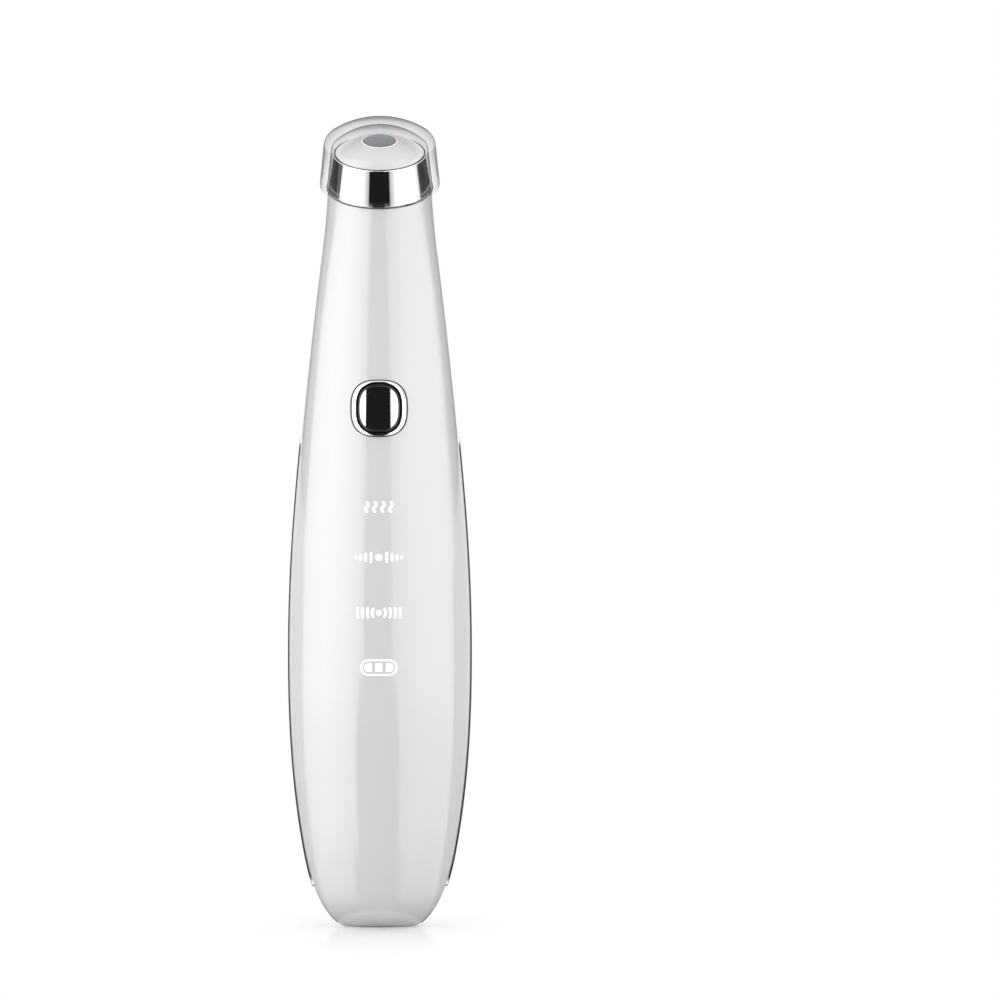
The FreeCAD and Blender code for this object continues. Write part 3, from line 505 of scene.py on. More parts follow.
def coated(name, colour, vary=0.03, grain=900.0, roughness=0.2, rough_vary=0.06, bump=0.02, depth=0.00002,
           metallic=0.0, coat=0.0, stretch=(1.0, 1.0, 1.0), ior=1.5, painted_shade=None, dull=0.0):
    """Plastic, rubber or metal with a slight drift of colour, uneven gloss and a fine skin texture. Shade
    is
    painted where the point attribute says: there it takes the given shade colour and loses its metal, and
    dull is how much rougher it is there."""
    made, finish = material(name)
    broad = finish.grain(grain * 0.12, 3.0, stretch)
    fine = finish.grain(grain, 4.0, stretch)
    base = finish.blend(broad, shade(colour, 1 - vary), shade(colour, 1 + vary))
    gloss = roughness + (fine - 0.5) * rough_vary
    # painted shade: the given colour where the point attribute says, with less metal and more roughness
    # there
    if painted_shade:
        painted_share = finish.painted_shade()
        base = finish.blend(painted_share, base, shade(painted_shade, 1.0))
        if metallic:
            metallic = (1.0 - painted_share) * metallic
        if dull:
            gloss = gloss + painted_share * dull
    finish.link_out(finish.principled({
        "Base Color": base,
        "Roughness": gloss,
        "Metallic": metallic,
        "IOR": ior,
        "Coat Weight": coat,
        "Coat Roughness": 0.04,
        "Coat IOR": 1.55,
        "Normal": finish.bump(fine, bump, depth),
    }))
    return made


def plated(name, colour, roughness=0.035, painted_shade=None, dull=0.0, ior=1.5):
    """Bright chrome plating: nearly a mirror, with faint clouds in its gloss and a slight wave. ior counts
    only where shade is painted, which is no metal."""
    return coated(
        name, colour, vary=0.01, grain=260.0, roughness=roughness, rough_vary=0.03, bump=0.008,
        depth=0.00002, metallic=1.0, painted_shade=painted_shade, dull=dull, ior=ior)


def clear_plastic(name, colour):
    """Clear moulded plastic: a shiny skin over a body that lets light pass straight, with painted dark
    shade where it is seen edge on. Towards the back it has more painted shade, greyer and darker, as a
    point attribute says."""
    made, finish = material(name)
    fine = finish.grain(60.0, 2.0)
    painted_share = finish.painted_shade()
    # painted shade: the body turns grey towards the back
    glass = finish.principled({
        "Base Color": finish.blend(painted_share, shade(colour, 1.0), (0.7, 0.71, 0.72, 1.0)),
        "Roughness": 0.01 + fine * 0.01,
        "IOR": 1.0,
        "Transmission Weight": 1.0,
        "Coat Weight": 1.0,
        "Coat Roughness": 0.01,
        "Coat IOR": 1.4,
    })
    # painted shade: where the plastic is seen edge on, and more so towards the back, it lets through only
    # dark grey
    edge = finish.node("ShaderNodeBsdfTransparent", None, {"Color": (0.27, 0.28, 0.29, 1.0)})
    through = finish.node("ShaderNodeBsdfTransparent", None, {"Color": shade(colour, 1.0)})
    facing = finish.node("ShaderNodeLayerWeight", None, {"Blend": 0.5}, output="Facing")
    rim = facing.ramp(0.72, 0.92, 0.0, 0.9).most(facing.ramp(0.3, 0.72) * painted_share)
    lighting = finish.path("Is Shadow Ray").most(finish.path("Is Diffuse Ray"))
    finish.link_out(finish.either(lighting, finish.either(rim, glass, edge), through))
    return made


def lit_white(name, colour, glow):
    """Milky lit mark: white plastic that glows evenly, a little less at its fine grain."""
    made, finish = material(name)
    fine = finish.grain(3000.0, 2.0)
    finish.link_out(finish.principled({
        "Base Color": finish.blend(fine, shade(colour, 0.98), shade(colour, 1.0)),
        "Roughness": 0.35 + fine * 0.1,
        "Emission Color": finish.blend(fine, shade(colour, 0.96), shade(colour, 1.0)),
        "Emission Strength": glow,
    }))
    return made


def solder_mask(name, colour):
    """Circuit board: green mask over a net of slightly raised copper tracks."""
    made, finish = material(name)
    values = {"Vector": finish.place((1.0, 1.0, 0.6)), "Scale": 420.0}
    cells = finish.node("ShaderNodeTexVoronoi", {"feature": "DISTANCE_TO_EDGE"}, values)
    track = cells.ramp(0.02, 0.05, 1.0, 0.0)
    finish.link_out(finish.principled({
        "Base Color": finish.blend(track, shade(colour, 1.0), shade(colour, 1.7)),
        "Roughness": 0.32 + finish.grain(1500.0) * 0.12,
        "Normal": finish.bump(track, 0.3, 0.00003),
    }))
    return made


# ---- Settings ----
def length_setting(name, description, default, low=0.0):
    """A length in metres that can be set in the panel."""
    return FloatProperty(name=name, description=description, default=default, min=low, unit="LENGTH")


def strength_setting(name, description, default, unit="NONE"):
    """A strength of light that can be set in the panel."""
    return FloatProperty(name=name, description=description, default=default, min=0.0, unit=unit)


def colour_setting(name, description, default):
    """A colour that can be picked in the panel."""
    return FloatVectorProperty(
        name=name, description=description, default=default, size=4, min=0.0, max=1.0, subtype="COLOR")


class WandSizes(bpy.types.PropertyGroup):
    """Sizes of the dressed surfaces."""

    wall: length_setting("Wall", "Thickness of the handle's shells", 0.0016, 0.0005)
    edge_round: length_setting("Edge rounding", "Rounding of the shells at the parting", 0.00014, 0.00002)
    strip_proud: length_setting("Strip height", "How far the side strips stand out", 0.0003)
    bezel_proud: length_setting("Bezel height", "How far the button's ring stands out", 0.0004)
    button_proud: length_setting("Button height", "How far the button stands out", 0.00075)
    button_round: length_setting("Button rounding", "Rounding of the button's edge", 0.0002, 0.00005)
    # width of the painted dark line round the button's edge
    button_line: length_setting("Button edge line", "Dark line at the button's edge", 0.00034, 0.00025)
    seal_proud: length_setting("Seal height", "How far the seal stands out of the rim", 0.0002)
    mark_proud: length_setting("Mark height", "How far the lit marks stand out", 0.00003, 0.00001)
    cap_wall: length_setting("Cap wall", "Wall of the clear dust cap", 0.0013, 0.0005)


class WandColours(bpy.types.PropertyGroup):
    """Colours of the visible pieces."""

    shell: colour_setting("Shell", "Glossy white plastic of the handle", (0.84, 0.85, 0.86, 1.0))
    chrome: colour_setting("Chrome", "Bright plated metal", (0.93, 0.935, 0.94, 1.0))
    satin: colour_setting("Dome", "Satin metal of the warm dome", (0.78, 0.785, 0.80, 1.0))
    window: colour_setting("Window", "Grey tinted light window", (0.11, 0.13, 0.137, 1.0))
    ring: colour_setting("Window ring", "Light ring round the window", (0.86, 0.865, 0.87, 1.0))
    seal: colour_setting("Seal", "Dark rubber under the head", (0.05, 0.052, 0.055, 1.0))
    clear: colour_setting("Cap", "Clear plastic of the dust cap", (0.985, 0.99, 0.99, 1.0))
    mark: colour_setting("Marks", "Lit marks and gauge", (1.0, 1.0, 1.0, 1.0))


class WandStage(bpy.types.PropertyGroup):
    """Light and camera of the studio."""

    sky_level: strength_setting("Room light", "Soft light from all round", 0.51)
    top_power: strength_setting("Top lamp", "Wide lamp overhead", 3.9, "POWER")
    left_power: strength_setting("Left lamp", "Soft lamp at the left front", 1.8, "POWER")
    right_power: strength_setting("Right lamp", "Soft lamp at the right front", 1.0, "POWER")
    back_power: strength_setting("Back lamps", "Soft lamps at both sides of the back", 1.6, "POWER")
    mark_glow: strength_setting("Mark glow", "Strength of the lit marks", 0.6)
    lens: FloatProperty(
        name="Lens", description="Focal length in millimetres", default=293.9, min=50.0)
    distance: length_setting("Distance", "From the camera to the wand", 1.5, 0.3)


# ---- Pieces ----
def shell_surface(side, hole, out, edge_round):
    """Surface of one shell, moved outward by out. Columns run from parting edge to parting edge as shares
    of the angle there, rows run up the handle and lean over to the tilted rim, and the last columns drop
    round the edge on a quarter circle. Round the button's hole, grid squares are drawn in to rounded
    squares: each point moves towards the middle by the ratio of its largest coordinate to its superellipse
    norm, less with distance. The first rows close the foot, from the socket's mouth out to the lowest
    section. Also says which grid cells the hole leaves."""
    hole_share = 0.2127  # of the way round to the parting edge, where the columns beside the hole lie
    beside = np.linspace(hole_share, 0.985, SIDE_COLUMNS)
    core = np.r_[np.linspace(0, hole_share, HOLE_COLUMNS), beside[1:]]
    roll = np.linspace(0, math.pi / 2, ROLL_STEPS)
    share = np.r_[core, np.ones(ROLL_STEPS)]
    drop = np.r_[np.zeros(len(core)), edge_round * (1 - np.cos(roll))]
    short = np.r_[np.zeros(len(core)), edge_round * (1 - np.sin(roll))]
    share = np.r_[-share[:0:-1], share]
    drop, short = (np.r_[part[:0:-1], part] for part in (drop, short))
    wide_half, tall_half = BEZEL_HOLE
    hole_low, hole_high = BUTTON_LEVEL - tall_half, BUTTON_LEVEL + tall_half
    stops = (0, 3, 12, hole_low, hole_high, RIM_FRONT_HEIGHT)
    spans = zip(stops, stops[1:], SHELL_ROWS)
    rows = np.concatenate([[0.0]] + [np.linspace(low, high, steps)[1:] for low, high, steps in spans])

    def edge_angle(height, push):
        """Angle from the middle of this side out to its parting edge."""
        _, middle, depth = section(height, push)
        edge = parting(height) + side * PARTING_GAP / 2
        return np.arccos(np.clip(side * (edge - middle) / depth, -1, 1))

    across, height = np.meshgrid(share, rows)
    weight = np.zeros_like(height)
    if hole:
        wide, tall = across / hole_share, (height - BUTTON_LEVEL) / tall_half
        largest = np.maximum(abs(wide), abs(tall))
        norm = (abs(wide) ** SQUIRCLE_POWER + abs(tall) ** SQUIRCLE_POWER) ** (1 / SQUIRCLE_POWER)
        weight = smooth((2.2 - largest) / 1.2)  # full at the hole, none from 2.2 times its size on
        pull = 1 + weight * (largest / np.maximum(norm, 1e-9) - 1)
        across = across * pull
        height = BUTTON_LEVEL + tall_half * tall * pull
    top = np.full(share.shape, RIM_FRONT_HEIGHT)
    for _ in range(30):  # settles where this surface meets the tilted rim's plane
        _, middle, depth = section(top, out)
        y = middle + side * depth * np.cos(share * edge_angle(top, out))
        top = RIM_Z + math.tan(HEAD_TILT) * (y - RIM_Y)
    lean = smooth((rows - NECK_START) / (RIM_FRONT_HEIGHT - NECK_START))[:, None]
    height = np.maximum(height + lean * (top - RIM_FRONT_HEIGHT), -out)
    half, middle, depth = section(height, out - drop)
    limit = edge_angle(height, out)
    angle = across * limit * (1 - short / (depth * limit))
    if hole:
        x = weight * wide_half * across / hole_share + (1 - weight) * half * np.sin(angle)
        angle = np.where(weight > 0, np.arcsin(np.clip(x / half, -1, 1)), angle)
    body = joined(half * np.sin(angle), middle + side * depth * np.cos(angle), height)

    straight, bend = (MOUTH_WIDTH - MOUTH_DEPTH) / 2, MOUTH_DEPTH / 2
    run = share * (straight + math.pi / 2 * bend)
    turn = np.clip((abs(run) - straight) / bend, 0, math.pi / 2)
    mouth_x = np.sign(run) * (np.minimum(abs(run), straight) + bend * np.sin(turn))
    edge_y = body[0, 1, 1]
    mouth = joined(mouth_x, edge_y + (side * bend - edge_y) * np.cos(turn), body[0, :, 2])
    fade = np.linspace(1, 0, FOOT_ROWS)[:-1, None, None]
    grid = np.concatenate([mouth * fade + body[0] * (1 - fade), body])
    row_middle, column_middle = (rows[:-1] + rows[1:]) / 2, (share[:-1] + share[1:]) / 2
    inside = abs(row_middle - BUTTON_LEVEL)[:, None] < tall_half
    inside = inside & (abs(column_middle)[None, :] < hole_share)
    keep = np.vstack([np.ones((len(fade), len(share) - 1), bool), ~(inside & hole)])
    return grid, keep


def shell_mesh(side, hole):
    """Closed shell: an outer surface, an inner one under it and a rim between them round every open edge,
    which is an edge that only one of the kept faces has. Also says which points get painted shade along
    the parting edges."""
    sizes = bpy.context.scene.wand_sizes
    outer, keep = shell_surface(side, hole, 0.0, sizes.edge_round / MM)
    inner, _ = shell_surface(side, hole, -sizes.wall / MM, sizes.edge_round / MM)
    faces = grid_faces(*outer.shape[:2], False, False)[keep]
    edges = np.stack([faces, np.roll(faces, -1, axis=1)], axis=-1).reshape(-1, 2)
    ordered = np.sort(edges, axis=1)
    _, where, count = np.unique(ordered, axis=0, return_index=True, return_counts=True)
    rim_edges = edges[where[count == 1]]
    depth = len(outer.reshape(-1, 3))
    walls = np.concatenate([rim_edges[:, ::-1], rim_edges + depth], axis=1)
    points = np.concatenate([outer.reshape(-1, 3), inner.reshape(-1, 3)])
    # painted shade on the three columns next to each parting edge, outside and inside
    edge = np.zeros(outer.shape[1])
    edge[[0, 1, 2, -3, -2, -1]] = 1.0
    dark = np.broadcast_to(edge, outer.shape[:2]).ravel()
    return points, np.concatenate([faces, faces[:, ::-1] + depth, walls]), np.tile(dark, 2)


def strip_grid(hand):
    """Side strip: rows run up the parting line, and each section is a flattened loop whose crown stands out
    of the skin, y = middle - half * cos(turn), out = a rounded sine. The ends close on half ellipses. Also
    says how much painted dark reflection each point gets on the front part of the crown, from 0 to 1."""
    sizes = bpy.context.scene.wand_sizes
    levels, halves = np.array(STRIP_HALF_WIDTHS).T
    low, high = levels[0], levels[-1]
    climb = (1 - np.cos(np.linspace(0, math.pi, STRIP_ROWS))) / 2
    height = low - STRIP_END + climb * (high - low + 2 * STRIP_END)
    held = np.clip(height, low, high)
    front, back = (cubic(levels, parting(levels) + way * halves, held)[:, 0] for way in (-1, 1))
    close = np.sqrt(np.clip(1 - ((height - held) / STRIP_END) ** 2, 0, 1))
    turn = np.linspace(0, 2 * math.pi, STRIP_COLUMNS, endpoint=False)[None, :]
    crown = np.sign(np.sin(turn)) * abs(np.sin(turn)) ** 0.75
    sunk = 0.06  # how far under the skin the crown starts
    out = -sunk + crown * np.where(crown > 0, sizes.strip_proud / MM + sunk, 0.3)
    y = ((front + back) / 2)[:, None] - (close * (back - front) / 2)[:, None] * np.cos(turn)
    half, middle, depth = section(height[:, None], out)
    x = hand * half * np.sqrt(np.clip(1 - ((y - middle) / depth) ** 2, 0, 1))
    ends = smooth(np.minimum(height - low, high - height) / 1.5 + 0.1)[:, None]
    # painted dark reflection on the front part of the crown, less towards the strip's ends
    dark = smooth((crown - 0.12) / 0.15) * smooth(np.cos(turn) / 0.1 + 1.5) * ends
    return joined(x, y, height[:, None]), np.broadcast_to(dark, x.shape).ravel()


def squircle(turn):
    """Unit superellipse by angle: its radius is 1 over the norm of the direction."""
    across, along = np.cos(turn), np.sin(turn)
    reach = (abs(across) ** SQUIRCLE_POWER + abs(along) ** SQUIRCLE_POWER) ** (-1 / SQUIRCLE_POWER)
    return across * reach, along * reach


def ring_section(spots, first, count, inner, outer):
    """Loop carried round between two rounded squares. A spot is (share of the way from inner to outer, how
    far out of the skin), but from first on, count spots give their own y instead."""
    turn = np.linspace(0, 2 * math.pi, RING_STEPS, endpoint=False)[:, None]
    across, along = squircle(turn)
    share, out = (np.array([spot[k] for spot in spots])[None, :] for k in (0, 1))
    order = np.arange(len(spots))
    own = (order >= first) & (order < first + count)
    x = (inner[0] + share * (outer[0] - inner[0])) * across
    z = BUTTON_LEVEL + (inner[1] + share * (outer[1] - inner[1])) * along
    y = np.where(own, out, front_skin_y(x, z, np.where(own, 0.0, out)))
    return joined(x, y, z)


class WAND_OT_shells(bpy.types.Operator):
    """Build the two glossy shells of the handle"""

    bl_idname = "wand.shells"
    bl_label = "Shells"

    def execute(self, context):
        # the shells' last colour is painted shade along their parting edges
        gloss = coated(
            "gloss_white", context.scene.wand_colours.shell, vary=0.012, grain=700.0, roughness=0.16,
            rough_vary=0.05, bump=0.012, depth=0.00001, coat=1.0, painted_shade=(0.2, 0.2, 0.205))
        for name, side, node in (("front_skin", FRONT, "front_shell"), ("rear_skin", BACK, "rear_shell")):
            points, faces, dark = shell_mesh(side, side == FRONT)
            piece(name, points, faces, "handle", "shell_white", gloss, [node], dark)
        return {"FINISHED"}


class WAND_OT_strips(bpy.types.Operator):
    """Build the chrome strips over the parting line"""

    bl_idname = "wand.strips"
    bl_label = "Side strips"

    def execute(self, context):
        # where a dark reflection is painted, the plating turns dark, duller and no metal
        chrome = plated(
            "strip_plating", context.scene.wand_colours.chrome, painted_shade=(0.03, 0.031, 0.033), dull=0.3,
            ior=1.15)
        for name, hand, node in (("left_strip", -1, "left_trim"), ("right_strip", 1, "right_trim")):
            grid, dark = strip_grid(hand)
            piece(name, *gridded((grid, False, True)), "handle", "trim_chrome", chrome, [node], dark)
        return {"FINISHED"}


class WAND_OT_button(bpy.types.Operator):
    """Build the chrome button and the ring round it"""

    bl_idname = "wand.button"
    bl_label = "Button"

    def execute(self, context):
        sizes, colours = context.scene.wand_sizes, context.scene.wand_colours
        # the last colour is painted shade
        chrome = plated("button_plating", colours.chrome, painted_shade=(0.02, 0.02, 0.02))
        proud = sizes.bezel_proud / MM
        rise = np.linspace(0, math.pi / 2, 16)
        # a spot is (share of the way across the ring, how far out, 1 where shade is painted)
        crest, rim_share = 0.2, 0.74
        # painted dark outline round the ring's foot, and painted shade on its inner rounding and walls
        spots = [(1.0, -0.35, 1), (1.0, -0.02, 1), (0.98, 0.06, 1), (rim_share + 0.02, 0.08, 1)]
        spots += [
            (crest + (rim_share - crest) * math.cos(a), 0.09 + (proud - 0.09) * math.sin(a), 0)
            for a in rise]
        spots += [(crest * (1 - math.sin(a)), proud - 0.2 * (1 - math.cos(a)), 1) for a in rise[1::3]]
        inner = [(0.0, proud - 0.35, 1), (0.0, BEZEL_REAR, 1), (0.2, BEZEL_REAR, 1), (0.2, -0.35, 1)]
        ring = ring_section(spots + inner, len(spots) + 1, 2, BEZEL_OPENING, BEZEL_HALF)
        dark = np.tile([spot[2] for spot in spots + inner], ring.shape[0])
        mesh = gridded((ring, True, True))
        piece("button_ring", *mesh, "handle", "bezel_chrome", chrome, ["button_bezel"], dark)

        proud, edge = sizes.button_proud / MM, sizes.button_round / MM
        fall = np.linspace(0, math.pi / 2, 8)
        # past the brink a dark line is painted round the button's top, a painted shade
        brink = 1 - sizes.button_line / MM / BUTTON_HALF[0]
        spots = [(share, proud) for share in np.r_[np.linspace(0, brink, 22), brink + 0.005]]
        spots += [
            (1 - edge / BUTTON_HALF[0] * (1 - math.sin(a)), proud - edge * (1 - math.cos(a))) for a in fall]
        front_y, back_y = BUTTON_FLANGE_Y
        flange = BUTTON_FLANGE[0] / BUTTON_HALF[0]
        behind = [(1.0, front_y), (flange, front_y), (flange, back_y), (0.5, back_y), (0.0, back_y)]
        cap = ring_section(spots + behind, len(spots), len(behind), (0.0, 0.0), BUTTON_HALF)
        # painted shade past the brink and on all that lies behind
        shaded = [float(share > brink) for share, _ in spots] + [1.0] * len(behind)
        dark = np.tile(shaded, cap.shape[0])
        mesh = gridded((cap, True, False))
        piece("button_top", *mesh, "button", "button_chrome", chrome, ["button_cap"], dark)
        return {"FINISHED"}


class WAND_OT_head(bpy.types.Operator):
    """Build the seal, the chrome band, the warm dome and its light window"""

    bl_idname = "wand.head"
    bl_label = "Head"

    def execute(self, context):
        colours = context.scene.wand_colours
        band_base = RIM_RADIUS - BAND_BASE
        band_top = band_base - BAND_TAPER
        lip, band_inside = band_top - BAND_LIP, band_top - BAND_WALL
        seal_out = RIM_RADIUS + context.scene.wand_sizes.seal_proud / MM
        rubber = coated("seal_rubber", colours.seal, vary=0.08, grain=2600.0, roughness=0.5, bump=0.08)
        seal = rounded(
            (lip - SEAL_REACH, 0.0, 0), (seal_out, 0.0, 0.15), (seal_out, SEAL_THICK, 0.15),
            (lip - SEAL_REACH, SEAL_THICK, 0))
        turned("head_seal", seal, "seal_grey", rubber, "neck_seal")

        # colour of painted shadow in the head's grooves and gaps
        shadow = (0.015, 0.015, 0.015)
        chrome = plated("band_plating", colours.chrome, 0.02, shadow)
        band = rounded(
            (band_base, SEAL_THICK, 0.05), (band_top, BAND_TOP, 0.12), (lip, BAND_TOP, 0.04),
            (lip, GROOVE_FLOOR, 0), (band_inside, GROOVE_FLOOR, 0), (band_inside, SEAL_THICK, 0))
        # painted shadow down the inside of the band's lip
        inner = (band[:, 0] < lip + 0.08) & (band[:, 1] > 1.0)
        turned("chrome_band", band, "band_chrome", chrome, "head_band", inner)

        edge = lip - GROOVE
        dome = dome_outline((edge, GROOVE_FLOOR), (edge, BAND_TOP), DOME_RISE, 0.3, 60)
        ball = (edge**2 + DOME_RISE**2) / (2 * DOME_RISE)
        crest = BAND_TOP + DOME_RISE
        seat = crest - WINDOW_DEPTH

        def on_dome(radius, below=0.0):
            """Level of the dome's ball at a radius from the axis: the root of ball^2 - radius^2 above the
            ball's middle."""
            return crest - ball + np.sqrt(ball**2 - np.asarray(radius, float) ** 2) - below

        satin = coated(
            "satin_dome", colours.satin, vary=0.02, grain=5200.0, roughness=0.3, rough_vary=0.08, bump=0.05,
            depth=0.000008, metallic=1.0, painted_shade=shadow)
        hole, stem_hole = RING_RADIUS + WINDOW_GAP, STEM_RADIUS + STEM_GAP
        plate = np.concatenate([
            [(stem_hole, GROOVE_FLOOR)], dome[dome[:, 0] > RING_RADIUS],
            [(hole, on_dome(hole)), (hole, seat), (stem_hole, seat)],
        ])
        # painted shadow on the dome's side in the gap and on the wall of its hole
        side = (plate[:, 0] > edge - 0.09) | (abs(plate[:, 0] - hole) < 0.001)
        turned("warm_dome", plate, "plate_satin", satin, "contact_plate", side)

        light = coated(
            "window_ring_metal", colours.ring, vary=0.01, grain=900.0, roughness=0.22, bump=0.01,
            metallic=0.2, coat=0.6)
        outer, inner = RING_RADIUS, WINDOW_RADIUS
        ring = rounded(
            (inner, seat, 0), (outer, seat, 0), (outer, on_dome(outer), 0.08),
            (inner, on_dome(inner), 0.08))
        turned("light_ring", ring, "window_ring", light, "window_ring")

        tinted = coated(
            "tinted_window", colours.window, vary=0.03, grain=1400.0, roughness=0.22, bump=0.01, ior=1.38,
            painted_shade=shadow)
        reach = np.r_[WINDOW_RADIUS - 0.1, np.linspace(WINDOW_RADIUS - 0.2, 0, 16)]
        pane = WINDOW_RADIUS - WINDOW_GAP
        lens = np.concatenate([
            [(0.0, STEM_LEVEL), (STEM_RADIUS, STEM_LEVEL), (STEM_RADIUS, seat), (pane, seat)],
            [(pane, on_dome(WINDOW_RADIUS, 0.1))], np.stack([reach, on_dome(reach, 0.02)], axis=-1),
        ])
        # painted shadow round the window's edge
        side = lens[:, 0] > WINDOW_RADIUS - 0.15
        turned("tinted_lens", lens, "window_grey", tinted, "light_window", side, closed=False)
        return {"FINISHED"}


class WAND_OT_cap(bpy.types.Operator):
    """Build the clear dust cap"""

    bl_idname = "wand.cap"
    bl_label = "Dust cap"

    def execute(self, context):
        wall = context.scene.wand_sizes.cap_wall / MM
        inner_base = RIM_RADIUS - BAND_BASE + CAP_FIT
        inner_shoulder = inner_base - CAP_TAPER
        slope = (inner_shoulder - inner_base) / (CAP_SHOULDER - wall)
        level = CAP_FOOT + CAP_FOOT_ROUND
        near, far = inner_base + slope * level, inner_base + wall
        inside = dome_outline(
            (near, level), (inner_shoulder, CAP_SHOULDER - wall), CAP_RISE, CAP_CORNER - wall / 2)
        outside = dome_outline(
            (far, level), (inner_shoulder + wall, CAP_SHOULDER), CAP_RISE, CAP_CORNER)
        left, right = near + CAP_FOOT_ROUND, far - CAP_FOOT_ROUND
        foot = [
            arc((left, level), (near, level), (left, CAP_FOOT), 6)[1:],
            arc((right, level), (right, CAP_FOOT), (far, level), 6)[:-1],
        ]
        outline = np.concatenate([inside[::-1], *foot, outside])
        clear = clear_plastic("clear_cap_plastic", context.scene.wand_colours.clear)
        turn = np.linspace(0, 2 * math.pi, SPIN_STEPS, endpoint=False)
        # painted shade towards the cap's back, and over its crown, there more at the back than at the front
        back = np.sin(turn)[:, None] * outline[:, 0] / far
        painted_back_shade = smooth((back - 0.6) / 0.35)
        crown = smooth((outline[:, 1] - CAP_SHOULDER + CAP_CORNER) / CAP_CORNER)
        painted_back_shade = np.maximum(painted_back_shade, 0.8 * crown * smooth((back + 0.5) / 1.4))
        turned("dust_cap", outline, "cap_clear", clear, "clear_cap", painted_back_shade, body="cap", closed=False)
        return {"FINISHED"}


# ---- Marks on the front ----
def fat_line(path, half, closed=False):
    """Thin plate along a path in x and z: at each point it reaches half to both sides, square to the path,
    with its top just out of the skin and its foot just under it."""
    proud = bpy.context.scene.wand_sizes.mark_proud / MM
    if closed:
        ahead = np.roll(path, -1, axis=0) - np.roll(path, 1, axis=0)
    else:
        ahead = np.gradient(path, axis=0)
    ahead = ahead / np.hypot(*ahead.T)[:, None]
    across = np.stack([-ahead[:, 1], ahead[:, 0]], axis=-1) * np.broadcast_to(half, len(path))[:, None]
    sides = [path - across, path - across, path + across, path + across]
    x, z = (np.stack([side[:, k] for side in sides], axis=1) for k in (0, 1))
    out = np.array([-0.02, proud, proud, -0.02])[None, :]
    return joined(x, front_skin_y(x, z, out), z), closed, True


def pen(path):
    """Fat line with round ends: the half width near an end is that of a half circle."""
    half = PEN_WIDTH / 2
    far = np.r_[0, np.cumsum(np.hypot(*np.diff(path, axis=0).T))]
    near = np.clip(np.minimum(far, far[-1] - far) / half, 0, 1)
    return fat_line(path, half * np.sqrt(1 - (1 - near) ** 2))


def line(x, middle, tall):
    """Upright pen line that reaches tall up and down from its middle."""
    share = (1 - np.cos(np.linspace(0, math.pi, LINE_STEPS)))[:, None] / 2
    return pen(np.array((x, middle - tall)) * (1 - share) + np.array((x, middle + tall)) * share)


def disc(x, z, radius):
    """Round dot: a line through its middle whose half width follows the circle."""
    turn = np.linspace(0, math.pi, LINE_STEPS)
    path = np.stack([x - radius * np.cos(turn), z + 0 * turn], axis=-1)
    return fat_line(path, radius * np.sin(turn))


class WAND_OT_marks(bpy.types.Operator):
    """Build the lit marks of the modes and the battery gauge"""

    bl_idname = "wand.marks"
    bl_label = "Lit marks"

    def execute(self, context):
        colours, stage = context.scene.wand_colours, context.scene.wand_stage
        white = lit_white("lit_mark", colours.mark, stage.mark_glow)
        rise = np.linspace(-1.0, 1.0, MARK_STEPS)
        wave = WAVE_SWING * np.sin(math.pi * 1.15 * rise)
        warm = [
            pen(np.stack([x + wave, WARM_LEVEL + rise], axis=-1)) for x in (-2.2, -0.75, 0.75, 2.2)]
        glow = [disc(0.0, GLOW_LEVEL, 0.62)]
        for x, tall in ((1.45, 1.0), (2.4, 0.78), (3.3, 0.54), (4.15, 0.3)):
            glow += [line(way * x, GLOW_LEVEL, tall) for way in (-1, 1)]
        pulse = [disc(0.0, PULSE_LEVEL, 0.5)]
        for radius in (1.25, 2.15, 3.05, 3.95):
            spread = math.asin(min(1.0, 1.0 / radius)) * (0.82 if radius < 1.5 else 1.0)
            turn = np.linspace(-spread, spread, MARK_STEPS)
            bow = np.stack([radius * np.cos(turn), radius * np.sin(turn)], axis=-1)
            pulse += [pen(np.array([0.0, PULSE_LEVEL]) + bow * (way, 1.0)) for way in (-1, 1)]
        middle = np.array([0.0, GAUGE_LEVEL])
        half, radius = GAUGE_HALF_STRAIGHT, GAUGE_RADIUS
        turn = np.linspace(-math.pi / 2, math.pi / 2, 30)
        bend = np.stack([half + radius * np.cos(turn), radius * np.sin(turn)], axis=-1)
        lid = np.stack([np.linspace(half, -half, 12)[1:-1], np.full(10, radius)], axis=-1)
        outline = np.concatenate([bend, lid, -bend, -lid])
        gauge = [fat_line(middle + outline, GAUGE_LINE_HALF, True)]
        for start, end in ((-2.64, -1.3), (-0.62, 0.62), (1.3, 2.64)):
            run = np.linspace(start, end, 30)
            past = np.clip(abs(run) - half, 0, CELL_HALF_HEIGHT)
            tall = np.sqrt(np.clip(CELL_HALF_HEIGHT**2 - past**2, 0, None))
            gauge.append(fat_line(middle + np.stack([run, 0 * run], axis=-1), tall))
        marks = {"warm_mark": warm, "glow_mark": glow, "pulse_mark": pulse, "gauge_mark": gauge}
        for name, grids in marks.items():
            piece(name, *gridded(*grids), "handle", "light_white", white)
        return {"FINISHED"}


